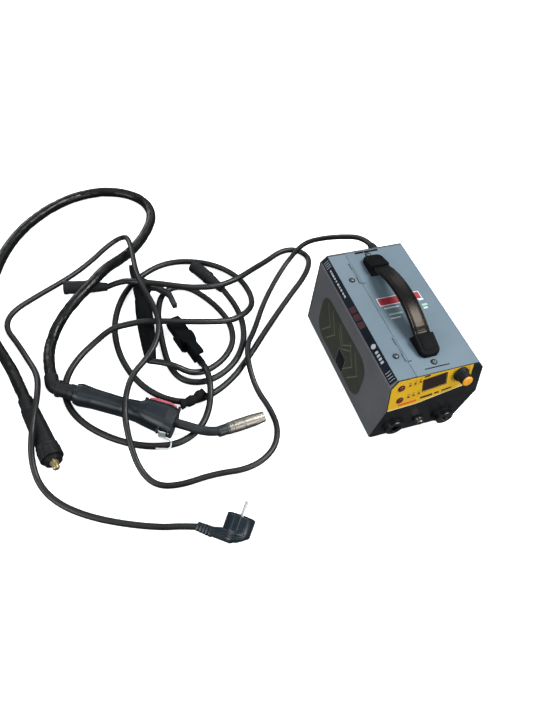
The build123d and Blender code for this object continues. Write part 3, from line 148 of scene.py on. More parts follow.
def makeFinish(name, **look):
    # one layered surface: tones in blotches of patchMm, roughness that follows them, softened edges of
    # edgeMm that wear to a paler tone by a share, and a grain whose size and depth are grainMm
    material = bpy.data.materials.new(name)
    material.use_nodes = True
    tree = material.node_tree
    shader = tree.nodes["Principled BSDF"]
    for key, socket in finishSockets.items():
        if key in look:
            shader.inputs[socket].default_value = look[key]
    place = addNode(tree, "ShaderNodeTexCoord").outputs["Object"]
    if "stretch" in look:
        mapping = addNode(tree, "ShaderNodeMapping", {"Vector": place, "Scale": look["stretch"]})
        place = mapping.outputs["Vector"]
    patch = addNode(tree, "ShaderNodeTexNoise", {
        "Vector": place, "Scale": 1000 / look["patchMm"], "Detail": 5, "Roughness": 0.6,
    }).outputs["Fac"]
    tint = addNode(tree, "ShaderNodeValToRGB", {"Fac": patch})
    for i in range(2):
        tint.color_ramp.elements[i].position = blotchSpan[i]
        tint.color_ramp.elements[i].color = srgb(look["tones"][i])
    colour = tint.outputs["Color"]
    if "zone" in look:
        # a second colour beyond a plane across the piece
        zone = look["zone"]
        reach = addNode(tree, "ShaderNodeVectorMath", {0: place, 1: zone["along"]}, operation="DOT_PRODUCT")
        beyond = addNode(tree, "ShaderNodeMath", {
            0: reach.outputs["Value"], 1: zone["beyondMm"] * 0.001,
        }, operation="GREATER_THAN")
        second = addNode(tree, "ShaderNodeMix", {
            0: patch, 6: srgb(zone["tones"][0]), 7: srgb(zone["tones"][1]),
        }, data_type="RGBA")
        colour = addNode(tree, "ShaderNodeMix", {
            0: beyond.outputs["Value"], 6: colour, 7: second.outputs[2],
        }, data_type="RGBA").outputs[2]
    soft = addNode(tree, "ShaderNodeBevel", {"Radius": look.get("edgeMm", 0.5) * 0.001}, samples=4)
    if "wear" in look:
        wornTone, wornShare = look["wear"]
        flat = addNode(tree, "ShaderNodeNewGeometry")
        lean = addNode(tree, "ShaderNodeVectorMath", {
            0: soft.outputs["Normal"], 1: flat.outputs["Normal"],
        }, operation="DOT_PRODUCT")
        worn = addNode(tree, "ShaderNodeMapRange", {
            "Value": lean.outputs["Value"],
            "From Min": wornSpan[0], "From Max": wornSpan[1], "To Max": wornShare,
        })
        broken = addNode(tree, "ShaderNodeMath", {0: worn.outputs["Result"], 1: patch}, operation="MULTIPLY")
        colour = addNode(tree, "ShaderNodeMix", {
            0: broken.outputs["Value"], 6: colour, 7: srgb(wornTone),
        }, data_type="RGBA").outputs[2]
    tree.links.new(colour, shader.inputs["Base Color"])
    grainSize, grainDepth = look["grainMm"]
    grain = addNode(tree, "ShaderNodeTexNoise", {
        "Vector": place, "Scale": 1000 / grainSize, "Detail": 3, "Roughness": 0.55,
    })
    bump = addNode(tree, "ShaderNodeBump", {
        "Height": grain.outputs["Fac"], "Distance": grainDepth * 0.001, "Normal": soft.outputs["Normal"],
    })
    tree.links.new(bump.outputs["Normal"], shader.inputs["Normal"])
    gloss = addNode(tree, "ShaderNodeMapRange", {
        "Value": patch, "From Min": blotchSpan[0], "From Max": blotchSpan[1],
        "To Min": look["roughness"][0], "To Max": look["roughness"][1],
    })
    tree.links.new(gloss.outputs["Result"], shader.inputs["Roughness"])
    return material


def dress(material, *names):
    for name in names:
        data = nodes[name].data
        data.materials.clear()
        data.materials.append(material)


def addPiece(name, data, material, body, smooth=None):
    if isinstance(data, bmesh.types.BMesh):
        bmesh.ops.recalc_face_normals(data, faces=data.faces[:])
        mesh = bpy.data.meshes.new(name)
        data.to_mesh(mesh)
        data.free()
        data = mesh
    if smooth is not None:
        data.shade_smooth()
        data.set_sharp_from_angle(angle=math.radians(smooth))
    piece = bpy.data.objects.new(name, data)
    bpy.context.scene.collection.objects.link(piece)
    data.materials.append(material)
    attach(piece, body)
    return piece


def circle(x, y, radius, steps=36):
    turns = [2 * math.pi * step / steps for step in range(steps)]
    return [(x + radius * math.cos(turn), y + radius * math.sin(turn)) for turn in turns]


def skinRings(solid, rings):
    # quads between neighbouring rings of vertices, and a face on the first and the last
    for first, second in zip(rings, rings[1:]):
        for i in range(len(first)):
            solid.faces.new((first[i], first[i - 1], second[i - 1], second[i]))
    solid.faces.new(rings[0])
    solid.faces.new(rings[-1])


# the floor is one sheet of white acrylic, lit a little from below so that shadows on it stay faint
floorFinish = makeFinish(
    "backlitAcrylic", tones=("#f1f2f3", "#f5f6f7"), patchMm=900, grainMm=(3, 0.02), roughness=(0.85, 0.9),
    glow=srgb("#fbfcff"), glowPower=0.8, specular=0.1,
)
floorSet = {"cells": 4, "reach": 6}  # reach is in metres, from the middle to each side


def layFloor(look):
    sheet = bmesh.new()
    cells = look["cells"]
    bmesh.ops.create_grid(sheet, x_segments=cells, y_segments=cells, size=look["reach"])
    mesh = bpy.data.meshes.new("floor")
    sheet.to_mesh(mesh)
    sheet.free()
    mesh.materials.append(floorFinish)
    floor = bpy.data.objects.new("floor", mesh)
    floor.visible_diffuse = False  # a white floor would light every side of the case from below
    floor.visible_glossy = False
    bpy.context.scene.collection.objects.link(floor)


layFloor(floorSet)

# black PVC sheath: drawn over the wires, so it is smooth with a low sheen and faint waves every few cm
sheathFinish = makeFinish(
    "extrudedPvcSheath", tones=("#101112", "#17191a"), patchMm=35, grainMm=(1.6, 0.06),
    roughness=(0.34, 0.46), ior=1.52, specular=0.36,
)
# glossy vinyl sleeve over the hose: crumples into soft flats that catch the light
sleeveFinish = makeFinish(
    "crumpledVinylSleeve", tones=("#070808", "#0d0f10"), patchMm=25, grainMm=(5, 0.5),
    roughness=(0.24, 0.36), ior=1.53, specular=0.26,
)
cordSet = {
    "mains_cord": {
        "diameter": 9, "length": 2.19, "farEnd": "plug", "onIt": [],
        "route": [
            (30, 152, 128), (30, 180, 121), (10, 214, 97), (-6, 250, 65), (-29, 272, 39),
            (-58, 263, 12), (-95, 228, 5), (-138, 176, 5), (-176, 116, 9), (-200, 84, 22),
            (-211, 44, 22), (-210, 4, 8), (-200, -34, 5), (-200, -72, 5), (-220, -106, 5),
            (-262, -124, 5), (-316, -117, 5), (-366, -121, 5), (-398, -112, 5), (-414, -84, 9),
            (-419, -50, 26), (-418, -14, 46), (-407, 24, 50), (-390, 56, 46), (-366, 78, 44),
            (-343, 104, 46), (-330, 136, 53), (-331, 172, 57), (-338, 210, 58), (-341, 250, 55),
            (-337, 294, 46), (-333, 334, 40), (-333, 362, 31), (-334, 383, 17), (-349, 390, 7),
            (-372, 375, 5), (-402, 347, 5), (-444, 316, 5), (-503, 285, 5), (-547, 259, 5),
            (-560, 227, 5), (-546, 191, 5), (-534, 150, 8), (-524, 108, 22), (-526, 62, 42),
            (-541, 8, 42), (-552, -28, 20), (-549, -66, 6), (-528, -102, 5), (-492, -132, 5),
            (-448, -156, 5), (-405, -174, 5.5), (-380, -180, 6.5), (-355, -190, 8.6),
        ],
    },
    "torch_hose": {
        "diameter": 18, "length": 1.148, "farEnd": "connector",
        "onIt": ["euro_plug_body", "euro_plug_nut", "euro_plug_pins"],
        "route": [
            (-505, 98, 23.5), (-505, 128, 21), (-499, 164, 14), (-482, 198, 20), (-452, 226, 34),
            (-418, 254, 40), (-386, 290, 38), (-354, 324, 20), (-322, 358, 9.5), (-288, 400, 9.5),
            (-268, 446, 9.5), (-280, 494, 9.5), (-330, 526, 9.5), (-390, 526, 9.5), (-450, 500, 9.5),
            (-506, 452, 9.5), (-545, 394, 9.5), (-570, 330, 9.5), (-588, 262, 9.5), (-580, 200, 9.5),
            (-563, 150, 10), (-554, 110, 13), (-547, 70, 17),
        ],
    },
    "earth_cord": {
        "diameter": 10, "length": 2.22, "farEnd": "plug", "fromFarEnd": True,
        "onIt": ["earth_plug", "lead_plug_pins"],
        "route": [
            (-388, 272, 12), (-364, 267, 26), (-342, 246, 39), (-307, 234, 38), (-255, 217, 32),
            (-210, 212, 30), (-171, 223, 28), (-137, 246, 20), (-98, 274, 6), (-60, 295, 5.5),
            (-30, 292, 5.5), (-13, 264, 5.5), (-36, 226, 5.5), (-88, 180, 5.5), (-145, 126, 5.5),
            (-200, 70, 5.5), (-240, 34, 5.5), (-280, 14, 5.5), (-316, 9, 5.5), (-352, 26, 5.5),
            (-382, 64, 5.5), (-398, 116, 5.5), (-398, 172, 5.5), (-384, 220, 5.5), (-358, 264, 5.5),
            (-322, 294, 5.5), (-280, 312, 5.5), (-234, 308, 5.5), (-190, 286, 5.5), (-160, 248, 5.5),
            (-152, 210, 5.5), (-158, 174, 11), (-182, 146, 24), (-214, 133, 28), (-256, 137, 34),
            (-302, 146, 38), (-348, 157, 40), (-378, 164, 32), (-402, 168, 24), (-430, 160, 9),
            (-460, 138, 5.5), (-484, 106, 5.5), (-493, 70, 5.5), (-485, 32, 5.5), (-458, -6, 5.5),
            (-420, -36, 5.5), (-384, -52, 5.5), (-348, -56, 5.5), (-316, -42, 5.5), (-294, -18, 9),
            (-281, 14, 23), (-277, 51, 26), (-277.5, 74, 9),
        ],
    },
    "electrode_cord": {
        "diameter": 10, "length": 0.828, "farEnd": "plug", "onIt": ["electrode_plug"], "fromFarEnd": True,
        "route": [
            (-199, 220, 12), (-190, 198, 8), (-185, 166, 5.5), (-188, 132, 5.5), (-200, 98, 5.5),
            (-224, 66, 5.5), (-256, 46, 5.5), (-290, 40, 5.5), (-318, 54, 5.5), (-329, 86, 5.5),
            (-328, 126, 5.5), (-324, 166, 5.5), (-317, 206, 5.5), (-303, 238, 5.5), (-279, 252, 5.5),
            (-254, 244, 5.5), (-236, 222, 5.5), (-217, 186, 5.5), (-207, 146, 5.5), (-214, 106, 5.5),
            (-240, 76, 5.5), (-274, 60, 5.5), (-300, 60, 10), (-320, 69, 22), (-339, 83, 22),
            (-355, 96, 14),
        ],
    },
}
# folds of the sleeve: long ones along the hose and fine ones across it
sleeveSet = {
    "sides": 24, "hoseMm": 9, "radiusMm": 8.9, "creaseMm": 1.3, "swellMm": 0.35, "longMm": 18, "shortMm": 8,
    "fineScale": 2.3, "fineShift": (7, 3), "longShare": 0.7, "fineShare": 0.5,
}
# fuzzy hook-and-loop tape, bundled round the earth lead in three lumps that lie a little across it
tapeFinish = makeFinish(
    "hookAndLoopTape", tones=("#0b0b0c", "#131314"), patchMm=6, grainMm=(1.2, 0.3), roughness=(0.75, 0.9),
    ior=1.5, specular=0.2,
)
tieSet = {
    "on": "earth_cord", "middle": (-311, 11, 5.5), "halfMm": 22, "acrossMm": -8, "liftMm": 3.4,
    "radiusMm": (6, 2.4), "halfWaves": 2.6, "folds": (1.4, 9), "steps": 5, "sides": 18,
}


def routeCurve(name, look):
    route = look["route"][::-1] if look.get("fromFarEnd") else look["route"]
    curve = bpy.data.curves.new(name, "CURVE")
    curve.dimensions = "3D"
    curve.resolution_u = 10
    spline = curve.splines.new("NURBS")
    spline.points.add(len(route) - 1)
    for point, place in zip(spline.points, route):
        point.co = (*mm(*place), 1)
    spline.order_u = 3
    spline.use_endpoint_u = True
    return curve, mm(*route[0])


def linePoints(curve):
    # points along the bare spline, in order
    bare = bpy.data.objects.new("bareLine", curve)
    bpy.context.scene.collection.objects.link(bare)
    mesh = bpy.data.meshes.new_from_object(bare)
    points = [vertex.co.copy() for vertex in mesh.vertices]
    bpy.data.objects.remove(bare)
    bpy.data.meshes.remove(mesh)
    return points


def tubeMesh(points, sides, radiusAt):
    # rings across the line, carried along it without twist
    tube = bmesh.new()
    rings = []
    side = None
    travelled = 0
    for index, point in enumerate(points):
        ahead = points[min(index + 1, len(points) - 1)] - points[max(index - 1, 0)]
        ahead.normalize()
        side = ahead.orthogonal() if side is None else side - ahead * side.dot(ahead)
        side.normalize()
        other = ahead.cross(side)
        travelled += (point - points[index - 1]).length if index else 0
        ring = []
        for step in range(sides):
            turn = 2 * math.pi * step / sides
            radius = radiusAt(travelled, turn)
            ring.append(tube.verts.new(point + (side * math.cos(turn) + other * math.sin(turn)) * radius))
        rings.append(ring)
    skinRings(tube, rings)
    return tube


def crumple(travelled, turn):
    # the sleeve folds in along short creases and swells a little between them
    look = sleeveSet
    around = Vector((math.cos(turn), math.sin(turn), 0)) * look["hoseMm"] / look["shortMm"]
    fold = noise.noise(around + Vector((0, 0, travelled * 1000 / look["longMm"])))
    fineAt = Vector((*look["fineShift"], travelled * 1000 / look["shortMm"]))
    fine = noise.noise(around * look["fineScale"] + fineAt)
    crease = look["longShare"] * abs(fold) + look["fineShare"] * max(fine, 0)
    return (look["radiusMm"] - look["creaseMm"] * crease + look["swellMm"] * fold) * 0.001


def bundleTie(line, look):
    # the lead's own points near the tie, set off to one side and then the other
    middle = mm(*look["middle"])
    near = [point for point in line if (point - middle).length < look["halfMm"] * 0.001]
    steps = look["steps"]
    fine = [a.lerp(b, step / steps) for a, b in zip(near, near[1:]) for step in range(steps)]
    side = (near[-1] - near[0]).cross(Vector((0, 0, 1))).normalized()
    shift = look["acrossMm"] * 0.001
    lift = mm(0, 0, look["liftMm"])
    path = [point + side * shift * (2 * i / len(fine) - 1) + lift for i, point in enumerate(fine)]
    length = sum((b - a).length for a, b in zip(path, path[1:]))
    slim, swell = look["radiusMm"]
    around, along = look["folds"]

    def lumps(travelled, turn):
        share = travelled / length
        fold = noise.noise(Vector((math.cos(turn) * around, math.sin(turn) * around, share * along)))
        return (slim + swell * abs(math.cos(look["halfWaves"] * math.pi * share)) + fold) * 0.001

    return addPiece("leadTie", tubeMesh(path, look["sides"], lumps), tapeFinish, "machine", 50)


# the plug is moulded in blue-black PVC, smooth from a polished tool
plugPvc = makeFinish(
    "mouldedPvcPlug", tones=("#0d1820", "#15232c"), patchMm=16, grainMm=(0.9, 0.04), roughness=(0.28, 0.4),
    wear=("#36434b", 0.5), edgeMm=0.9, ior=1.53, specular=0.4,
)
# nickel over brass: bright and smooth, turned
pinNickel = makeFinish(
    "nickelledPins", tones=("#c4c4c1", "#d6d6d3"), patchMm=4, grainMm=(0.7, 0.01), roughness=(0.28, 0.38),
    metallic=0.7,
)
# angled mains plug lying on its side: u runs along the arm to the head, w the way that the pins point; rows
# of the head are w, radius and whether the flats cut it, and of the shell its inset and share of the way
# forward from its back
plugSet = {
    "on": "mains_cord", "middle": (-314.9, -215.8, 22),
    "armAngles": (-43.4, 9), "pinAngle": 28.7, "headTurn": -15,
    "head": [
        (-2, 18.9, 0), (0.3, 18.9, 0), (1, 19.3, 0), (1.6, 19.3, 0), (2.2, 19.3, 1), (20.4, 19.1, 1),
        (21.4, 18.5, 1), (22, 17.4, 1), (22, 15.5, 0), (20.8, 15.3, 0),
    ],
    "headSides": 96, "flatMm": 16.8, "slitMm": 0.9,
    "shell": [
        (5.5, 0), (2, 0.1), (0.4, 0.28), (0, 0.38), (0, 0.46), (0.8, 0.48), (0.8, 0.54),
        (0, 0.56), (0, 0.66), (0.8, 0.68), (0.8, 0.74), (0, 0.76), (0, 0.96), (0.8, 1),
    ],
    "shellRadius": 19.3, "shellAngle": 110, "tail": (-33, 7.2), "tailSteps": 6, "tailInset": 0.5,
    "backMm": 15.5, "backSlopes": (0.62, 0.045), "frontFrom": -17, "frontSlope": 0.28,
    "reliefMm": -11.3, "reliefSides": 32,
    "relief": [
        (-31, 7), (-34, 7), (-34.3, 4.7), (-35.9, 4.7), (-36.2, 6.9), (-38.6, 6.9), (-38.9, 4.7),
        (-40.5, 4.7), (-40.8, 6.7), (-43.2, 6.7), (-43.5, 4.7), (-45.1, 4.7), (-45.4, 6.5), (-47.8, 6.5),
        (-48.1, 4.7), (-49.7, 4.7), (-50, 6.2), (-53, 6.2), (-53.4, 5.6),
    ],
    "pins": [(20, 2.4), (40, 2.4), (41.2, 2), (41.8, 1)], "pinGapMm": 9.5, "pinSides": 24,
    "earthStrip": [(-2.4, 6), (2.4, 6), (2.4, 21.5), (-2.4, 21.5)], "earthReach": (18.6, 19.6),
}


def buildPlug(look):
    turn, rise = (math.radians(angle) for angle in look["armAngles"])
    lean = math.radians(look["pinAngle"])
    along = Vector((math.cos(turn) * math.cos(rise), math.sin(turn) * math.cos(rise), math.sin(rise)))
    level = Vector((0, 0, 1)).cross(along).normalized()
    out = level * math.cos(lean) + along.cross(level) * math.sin(lean)
    across = out.cross(along)
    middle = mm(*look["middle"])

    def skin(solid, loops):
        skinRings(solid, [
            [solid.verts.new(middle + (along * u + across * v + out * w) * 0.001) for u, v, w in loop]
            for loop in loops
        ])

    # back shell: a drop-shaped outline whose back slopes away beyond the head's middle
    def shellLoop(inset, share):
        radius = look["shellRadius"] - inset
        turns = [math.radians(angle) for angle in range(0, look["shellAngle"] + 1, 5)]
        half = [(radius * math.cos(turn), radius * math.sin(turn)) for turn in turns]
        cornerU, cornerV = half[-1]
        runU = look["tail"][0] - cornerU
        runV = look["tail"][1] - look["tailInset"] * inset - cornerV
        steps = look["tailSteps"]
        half += [(cornerU + runU * i / steps, cornerV + runV * i / steps) for i in range(1, steps + 1)]
        loop = []
        for u, v in half + [(u, -v) for u, v in half[:0:-1]]:
            back = -look["backMm"] + max(0, u) * look["backSlopes"][0] - max(0, -u) * look["backSlopes"][1]
            front = -max(0, look["frontFrom"] - u) * look["frontSlope"]
            loop.append((u, v, back + (front - back) * share))
        return loop

    # head: round, with a slit flat on each side in line with the pins
    spin = Matrix.Rotation(math.radians(-look["headTurn"]), 2)

    def headLoop(w, radius, flat):
        loop = []
        for step in range(look["headSides"]):
            angle = 2 * math.pi * step / look["headSides"]
            reach = min(radius, look["flatMm"] / max(abs(math.sin(angle)), 0.01)) if flat else radius
            if flat and abs(math.cos(angle)) < 0.01:
                reach -= look["slitMm"]
            loop.append((*(spin @ Vector((reach * math.cos(angle), reach * math.sin(angle)))), w))
        return loop

    # strain relief: ribs of a rounded square section
    def ribLoop(u, half):
        loop = []
        for step in range(look["reliefSides"]):
            angle = 2 * math.pi * step / look["reliefSides"]
            squareness = (abs(math.cos(angle)) ** 4 + abs(math.sin(angle)) ** 4) ** -0.25
            reach = half * squareness
            loop.append((u, reach * math.cos(angle), look["reliefMm"] + reach * math.sin(angle)))
        return loop

    body = bmesh.new()
    skin(body, [shellLoop(*row) for row in look["shell"]])
    skin(body, [headLoop(*row) for row in look["head"]])
    skin(body, [ribLoop(*row) for row in look["relief"]])
    plug = addPiece("mainsPlug", body, plugPvc, "machine", 35)
    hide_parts("mains_plug")

    # two round pins, and an earth strip in each side of the head
    metal = bmesh.new()
    for side in (-1, 1):
        pinU, pinV = spin @ Vector((0, side * look["pinGapMm"]))
        skin(metal, [
            [(pinU + x, pinV + y, w) for x, y in circle(0, 0, radius, look["pinSides"])]
            for w, radius in look["pins"]
        ])
        skin(metal, [
            [(*(spin @ Vector((side * reach, v))), w) for v, w in look["earthStrip"]]
            for reach in look["earthReach"]
        ])
    pins = addPiece("mainsPlugPins", metal, pinNickel, "machine", 35)
    return [plug, pins]


def layCord(node, look):
    curve, start = routeCurve(node + "Line", look)
    path = None
    extras = [nodes[name] for name in look["onIt"]]
    if node == plugSet["on"]:
        extras += buildPlug(plugSet)
    if node == tieSet["on"]:
        extras.append(bundleTie(linePoints(curve), tieSet))
    if node == "torch_hose":
        curve.resolution_u = 24  # rings close enough for the creases
        path = linePoints(curve)
        sleeve = tubeMesh(path, sleeveSet["sides"], crumple)
        cord = addPiece("hoseSleeve", sleeve, sleeveFinish, "machine", 60)
    else:
        curve.bevel_depth = look["diameter"] * 0.0005
        curve.bevel_resolution = 5
        curve.use_fill_caps = True
        cord = addPiece(node.replace("_cord", "Sheath"), curve, sheathFinish, "machine")
    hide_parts(node)


for node, look in cordSet.items():
    layCord(node, look)
print("cords laid")

# powder coat over bent sheet: even, half matt, with a faint orange peel of 1 mm waves, drawn a little coarse
coverPaint = makeFinish(
    "greyBluePowderCoat", tones=("#5a6b77", "#62747f"), patchMm=80, grainMm=(1.2, 0.015),
    roughness=(0.42, 0.52), wear=("#98a5ad", 0.4), edgeMm=0.6, ior=1.5, specular=0.28,
)
# the door is sprayed charcoal, and its strip of the top, inside the chamfer's upper edge, in the cover's
# colour; both have the cover's peel
doorPaint = makeFinish(
    "charcoalEnamel", tones=("#54565a", "#5f6165"), patchMm=60, grainMm=(1.2, 0.015),
    roughness=(0.26, 0.36), wear=("#7c7e80", 0.4), edgeMm=0.6, ior=1.52,
    zone={"along": (1, 0, 0), "beyondMm": -65.2, "tones": ("#586975", "#60727d")},
)
# dark powder coat on the pan, the partition and the back: duller than the cover's, with the same peel
panPaint = makeFinish(
    "charcoalPan", tones=("#333538", "#3c3e41"), patchMm=40, grainMm=(1.2, 0.02), roughness=(0.4, 0.5),
    ior=1.5,
)
# moulded ABS with a spark-eroded grain of about half a millimetre, drawn at 0.9 to show
blackAbs = makeFinish(
    "grainedAbs", tones=("#0f1113", "#17191c"), patchMm=30, grainMm=(0.9, 0.05), roughness=(0.38, 0.52),
    wear=("#2b2e31", 0.5), edgeMm=0.7, ior=1.54, specular=0.24,
)
# the strap's caps, the clamp and the holder are moulded matt so that hands do not slip
capMatt = makeFinish(
    "mattAbs", tones=("#090b0d", "#0f1214"), patchMm=20, grainMm=(0.9, 0.05), roughness=(0.5, 0.62),
    wear=("#2b2e31", 0.5), edgeMm=0.8, ior=1.54, specular=0.04,
)
# the sockets are pressed from black phenolic, which comes out of the tool polished
socketGloss = makeFinish(
    "polishedPhenolic", tones=("#0e1013", "#15181c"), patchMm=12, grainMm=(1, 0.01), roughness=(0.14, 0.22),
    wear=("#2e3338", 0.5), edgeMm=0.5, ior=1.6,
)
# satin glass-filled nylon, bluish black, handled smooth
torchNylon = makeFinish(
    "satinNylon", tones=("#0d141a", "#151e26"), patchMm=26, grainMm=(1, 0.04), roughness=(0.3, 0.42),
    wear=("#3a454f", 0.5), edgeMm=1.2, ior=1.53, specular=0.34,
)
# glossy red ABS from a smooth tool, with soft highlights along its edges
triggerRed = makeFinish(
    "glossyRedAbs", tones=("#b24f60", "#c06071"), patchMm=12, grainMm=(0.8, 0.02), roughness=(0.2, 0.3),
    edgeMm=0.8, ior=1.54,
)
# polycarbonate sheet printed from behind: flat bright colour under a lightly textured skin
panelSheet = makeFinish(
    "printedPolycarbonate", tones=("#cfa216", "#d8ad22"), patchMm=45, grainMm=(0.6, 0.01),
    roughness=(0.28, 0.38), wear=("#e6cf86", 0.5), edgeMm=0.3, ior=1.58,
)
# orange ABS on the dial: smooth, and paler round its rim
capOrange = makeFinish(
    "orangeAbs", tones=("#dd9522", "#e6a232"), patchMm=9, grainMm=(0.5, 0.01), roughness=(0.25, 0.35),
    wear=("#efc777", 0.6), edgeMm=0.5, ior=1.54,
)
# translucent red keys: dark inside, under a clear glossy skin
keyRed = makeFinish(
    "translucentRedKey", tones=("#5a1f0c", "#702c14"), patchMm=5, grainMm=(0.5, 0.01),
    roughness=(0.22, 0.32), edgeMm=0.4, ior=1.54, coat=0.3, coatRoughness=0.1,
)
# fibre board under green solder mask, with the tracks showing as darker blotches
boardMask = makeFinish(
    "solderMaskBoard", tones=("#0f3d25", "#1b5a38"), patchMm=7, grainMm=(1.5, 0.04), roughness=(0.3, 0.45),
    ior=1.5,
)
# zinc plate: bluish, spangled by the drawing direction, duller where it was handled
zincSteel = makeFinish(
    "zincPlatedSteel", tones=("#8d9094", "#a7aaad"), patchMm=9, grainMm=(1.2, 0.01), roughness=(0.28, 0.46),
    stretch=(1, 1, 0.25), edgeMm=0.4, metallic=1,
)
# dark chromate over zinc on the screws: dull, with a pale centre where the light catches the dome
screwZinc = makeFinish(
    "chromatedZinc", tones=("#565d62", "#6b7277"), patchMm=5, grainMm=(0.8, 0.01), roughness=(0.4, 0.54),
    edgeMm=0.4, metallic=1,
)
# bright zinc on the hook's thin strip and wire, passivated to a pale satin
hookZinc = makeFinish(
    "passivatedZinc", tones=("#b9c2c2", "#cdd4d4"), patchMm=5, grainMm=(0.8, 0.01), roughness=(0.4, 0.52),
    edgeMm=0.3, metallic=0.6,
)
# black oxide washers, thin, dark and rubbed to bare steel at the rim; their black is partly painted shade
# round the heads
blackSteel = makeFinish(
    "blackOxideSteel", tones=("#17181b", "#25272b"), patchMm=4, grainMm=(0.6, 0.01), roughness=(0.28, 0.42),
    wear=("#7d8084", 0.5), edgeMm=0.4, metallic=0.7,
)
# nickel on the nozzle: dulled in blotches by heat, bright only along its edges
nickelPlate = makeFinish(
    "dullNickelPlate", tones=("#7a766f", "#8f8b84"), patchMm=6, grainMm=(0.7, 0.02), roughness=(0.38, 0.5),
    wear=("#bab6ae", 0.5), edgeMm=0.5, metallic=1,
)
# pale brass of the torch plug's pins, bright where they slide
plugBrass = makeFinish(
    "burnishedBrass", tones=("#a89d72", "#bdb188"), patchMm=5, grainMm=(0.5, 0.01), roughness=(0.3, 0.42),
    edgeMm=0.3, metallic=0.8,
)
# contacts: the torch socket's brass is darkened nearly to black, painted shade of its deep bore; those to
# the right of it are nickel plated
socketMetalAndShade = makeFinish(
    "platedContactsAndShade", tones=("#332a1e", "#403526"), patchMm=5, grainMm=(0.5, 0.01), roughness=(0.22, 0.36),
    edgeMm=0.3, metallic=1, zone={"along": (1, 0, 0), "beyondMm": -25, "tones": ("#a39d94", "#b8b2a9")},
)
# turned brass: warm and bright, its tool marks drawn as a grain of 0.5 mm, coarser than they are
turnedBrass = makeFinish(
    "turnedBrass", tones=("#a77f3c", "#bd944c"), patchMm=5, grainMm=(0.5, 0.01), roughness=(0.22, 0.36),
    edgeMm=0.3, metallic=1,
)
# bare aluminium: pale, with lines along the way that it was drawn
bareAluminium = makeFinish(
    "extrudedAluminium", tones=("#9fa2a5", "#b4b6b8"), patchMm=10, grainMm=(0.8, 0.02),
    roughness=(0.36, 0.5), stretch=(1, 0.15, 1), edgeMm=0.4, metallic=1,
)
# copper-coated steel wire: bright, and browner in blotches of a few mm
copperWire = makeFinish(
    "copperCoatedWire", tones=("#94532f", "#b3704a"), patchMm=6, grainMm=(1, 0.02), roughness=(0.24, 0.36),
    metallic=1,
)
# moulded rubber: matt, with a fine soft grain, greyer along rubbed edges
softRubber = makeFinish(
    "mouldedRubber", tones=("#101214", "#181b1d"), patchMm=18, grainMm=(0.8, 0.05), roughness=(0.46, 0.6),
    wear=("#2b2e31", 0.5), edgeMm=0.9, ior=1.52, specular=0.24,
)
# styrene of the spool: smooth, with flow marks about 2 cm apart
spoolStyrene = makeFinish(
    "mouldedStyrene", tones=("#17181a", "#222427"), patchMm=22, grainMm=(1, 0.03), roughness=(0.34, 0.46),
    edgeMm=0.5, ior=1.59,
)
# grey nylon of the holder's lever: satin, paler along rubbed edges
leverGrey = makeFinish(
    "greyNylon", tones=("#26282a", "#303234"), patchMm=15, grainMm=(0.8, 0.04), roughness=(0.38, 0.5),
    wear=("#454749", 0.5), edgeMm=0.9, ior=1.53, specular=0.3,
)
# sleeved copper tube: black as far as the moulded green ring that carries the nozzle
neckSleeve = makeFinish(
    "sleevedNeck", tones=("#1a1d20", "#24272a"), patchMm=12, grainMm=(1, 0.04), roughness=(0.3, 0.42),
    ior=1.52, specular=0.36,
    zone={"along": (0.99417, 0.10465, -0.02616), "beyondMm": -284.35, "tones": ("#2c3a37", "#384744")},
)
# varnished stack of thin sheets: dark, streaked across every mm or so, drawn coarser than the sheets
ironCore = makeFinish(
    "varnishedCore", tones=("#3b3a38", "#4b4a47"), patchMm=5, grainMm=(1, 0.06), roughness=(0.42, 0.58),
    stretch=(1, 4, 1), metallic=0.6,
)

dress(coverPaint, "outer_cover", "cover_hinges")
dress(doorPaint, "side_door")
dress(panPaint, "base_pan", "partition", "rear_panel")
dress(blackAbs, "front_bezel", "door_latch", "mains_gland", "dial_knob", "power_rocker", "fan_frame",
      "fan_rotor", "feeder_plate", "spool_hub", "torch_collar", "euro_plug_body", "euro_plug_nut")
dress(socketGloss, "socket_bodies")
dress(capMatt, "handle_ends", "clamp_lower_jaw", "clamp_upper_jaw", "holder_handle", "holder_jaw")
dress(leverGrey, "holder_lever")
dress(torchNylon, "torch_handle")
dress(triggerRed, "torch_trigger", "tension_knob")
dress(panelSheet, "control_panel")
dress(capOrange, "dial_cap")
dress(keyRed, "mode_button", "function_button")
dress(boardMask, "display_board", "power_board")
dress(hookZinc, "torch_hook")
dress(screwZinc, "cover_screws")
dress(zincSteel, "drive_roll", "pressure_roller", "feed_motor")
dress(bareAluminium, "heatsink", "pressure_arm")
dress(nickelPlate, "gas_nozzle")
dress(plugBrass, "euro_plug_pins")
dress(neckSleeve, "swan_neck")
# the torch socket's contact is darkened as painted shade of its bore
dress(socketMetalAndShade, "socket_contacts")
dress(turnedBrass, "gas_inlet", "lead_plug_pins", "contact_tip")
dress(spoolStyrene, "wire_spool")
dress(softRubber, "rubber_feet", "earth_plug", "electrode_plug")
dress(plugPvc, "mains_plug")
dress(ironCore, "transformer")
print("nodes dressed")

# flat faces of the machine that carry prints and labels: origin, direction across and direction up
faces = {
    "top": (mm(0, 0, 150), Vector((1, 0, 0)), Vector((0, 1, 0))),
    "panel": (mm(0, -125, 150), Vector((1, 0, 0)), Vector((0, 0.22613, 0.9741))),
    "door": (mm(-75, 0, 0), Vector((0, -1, 0)), Vector((0, 0, 1))),
    "chamfer": (mm(-70, 0, 144), Vector((0, -1, 0)), Vector((0.64018, 0, 0.76822))),
}


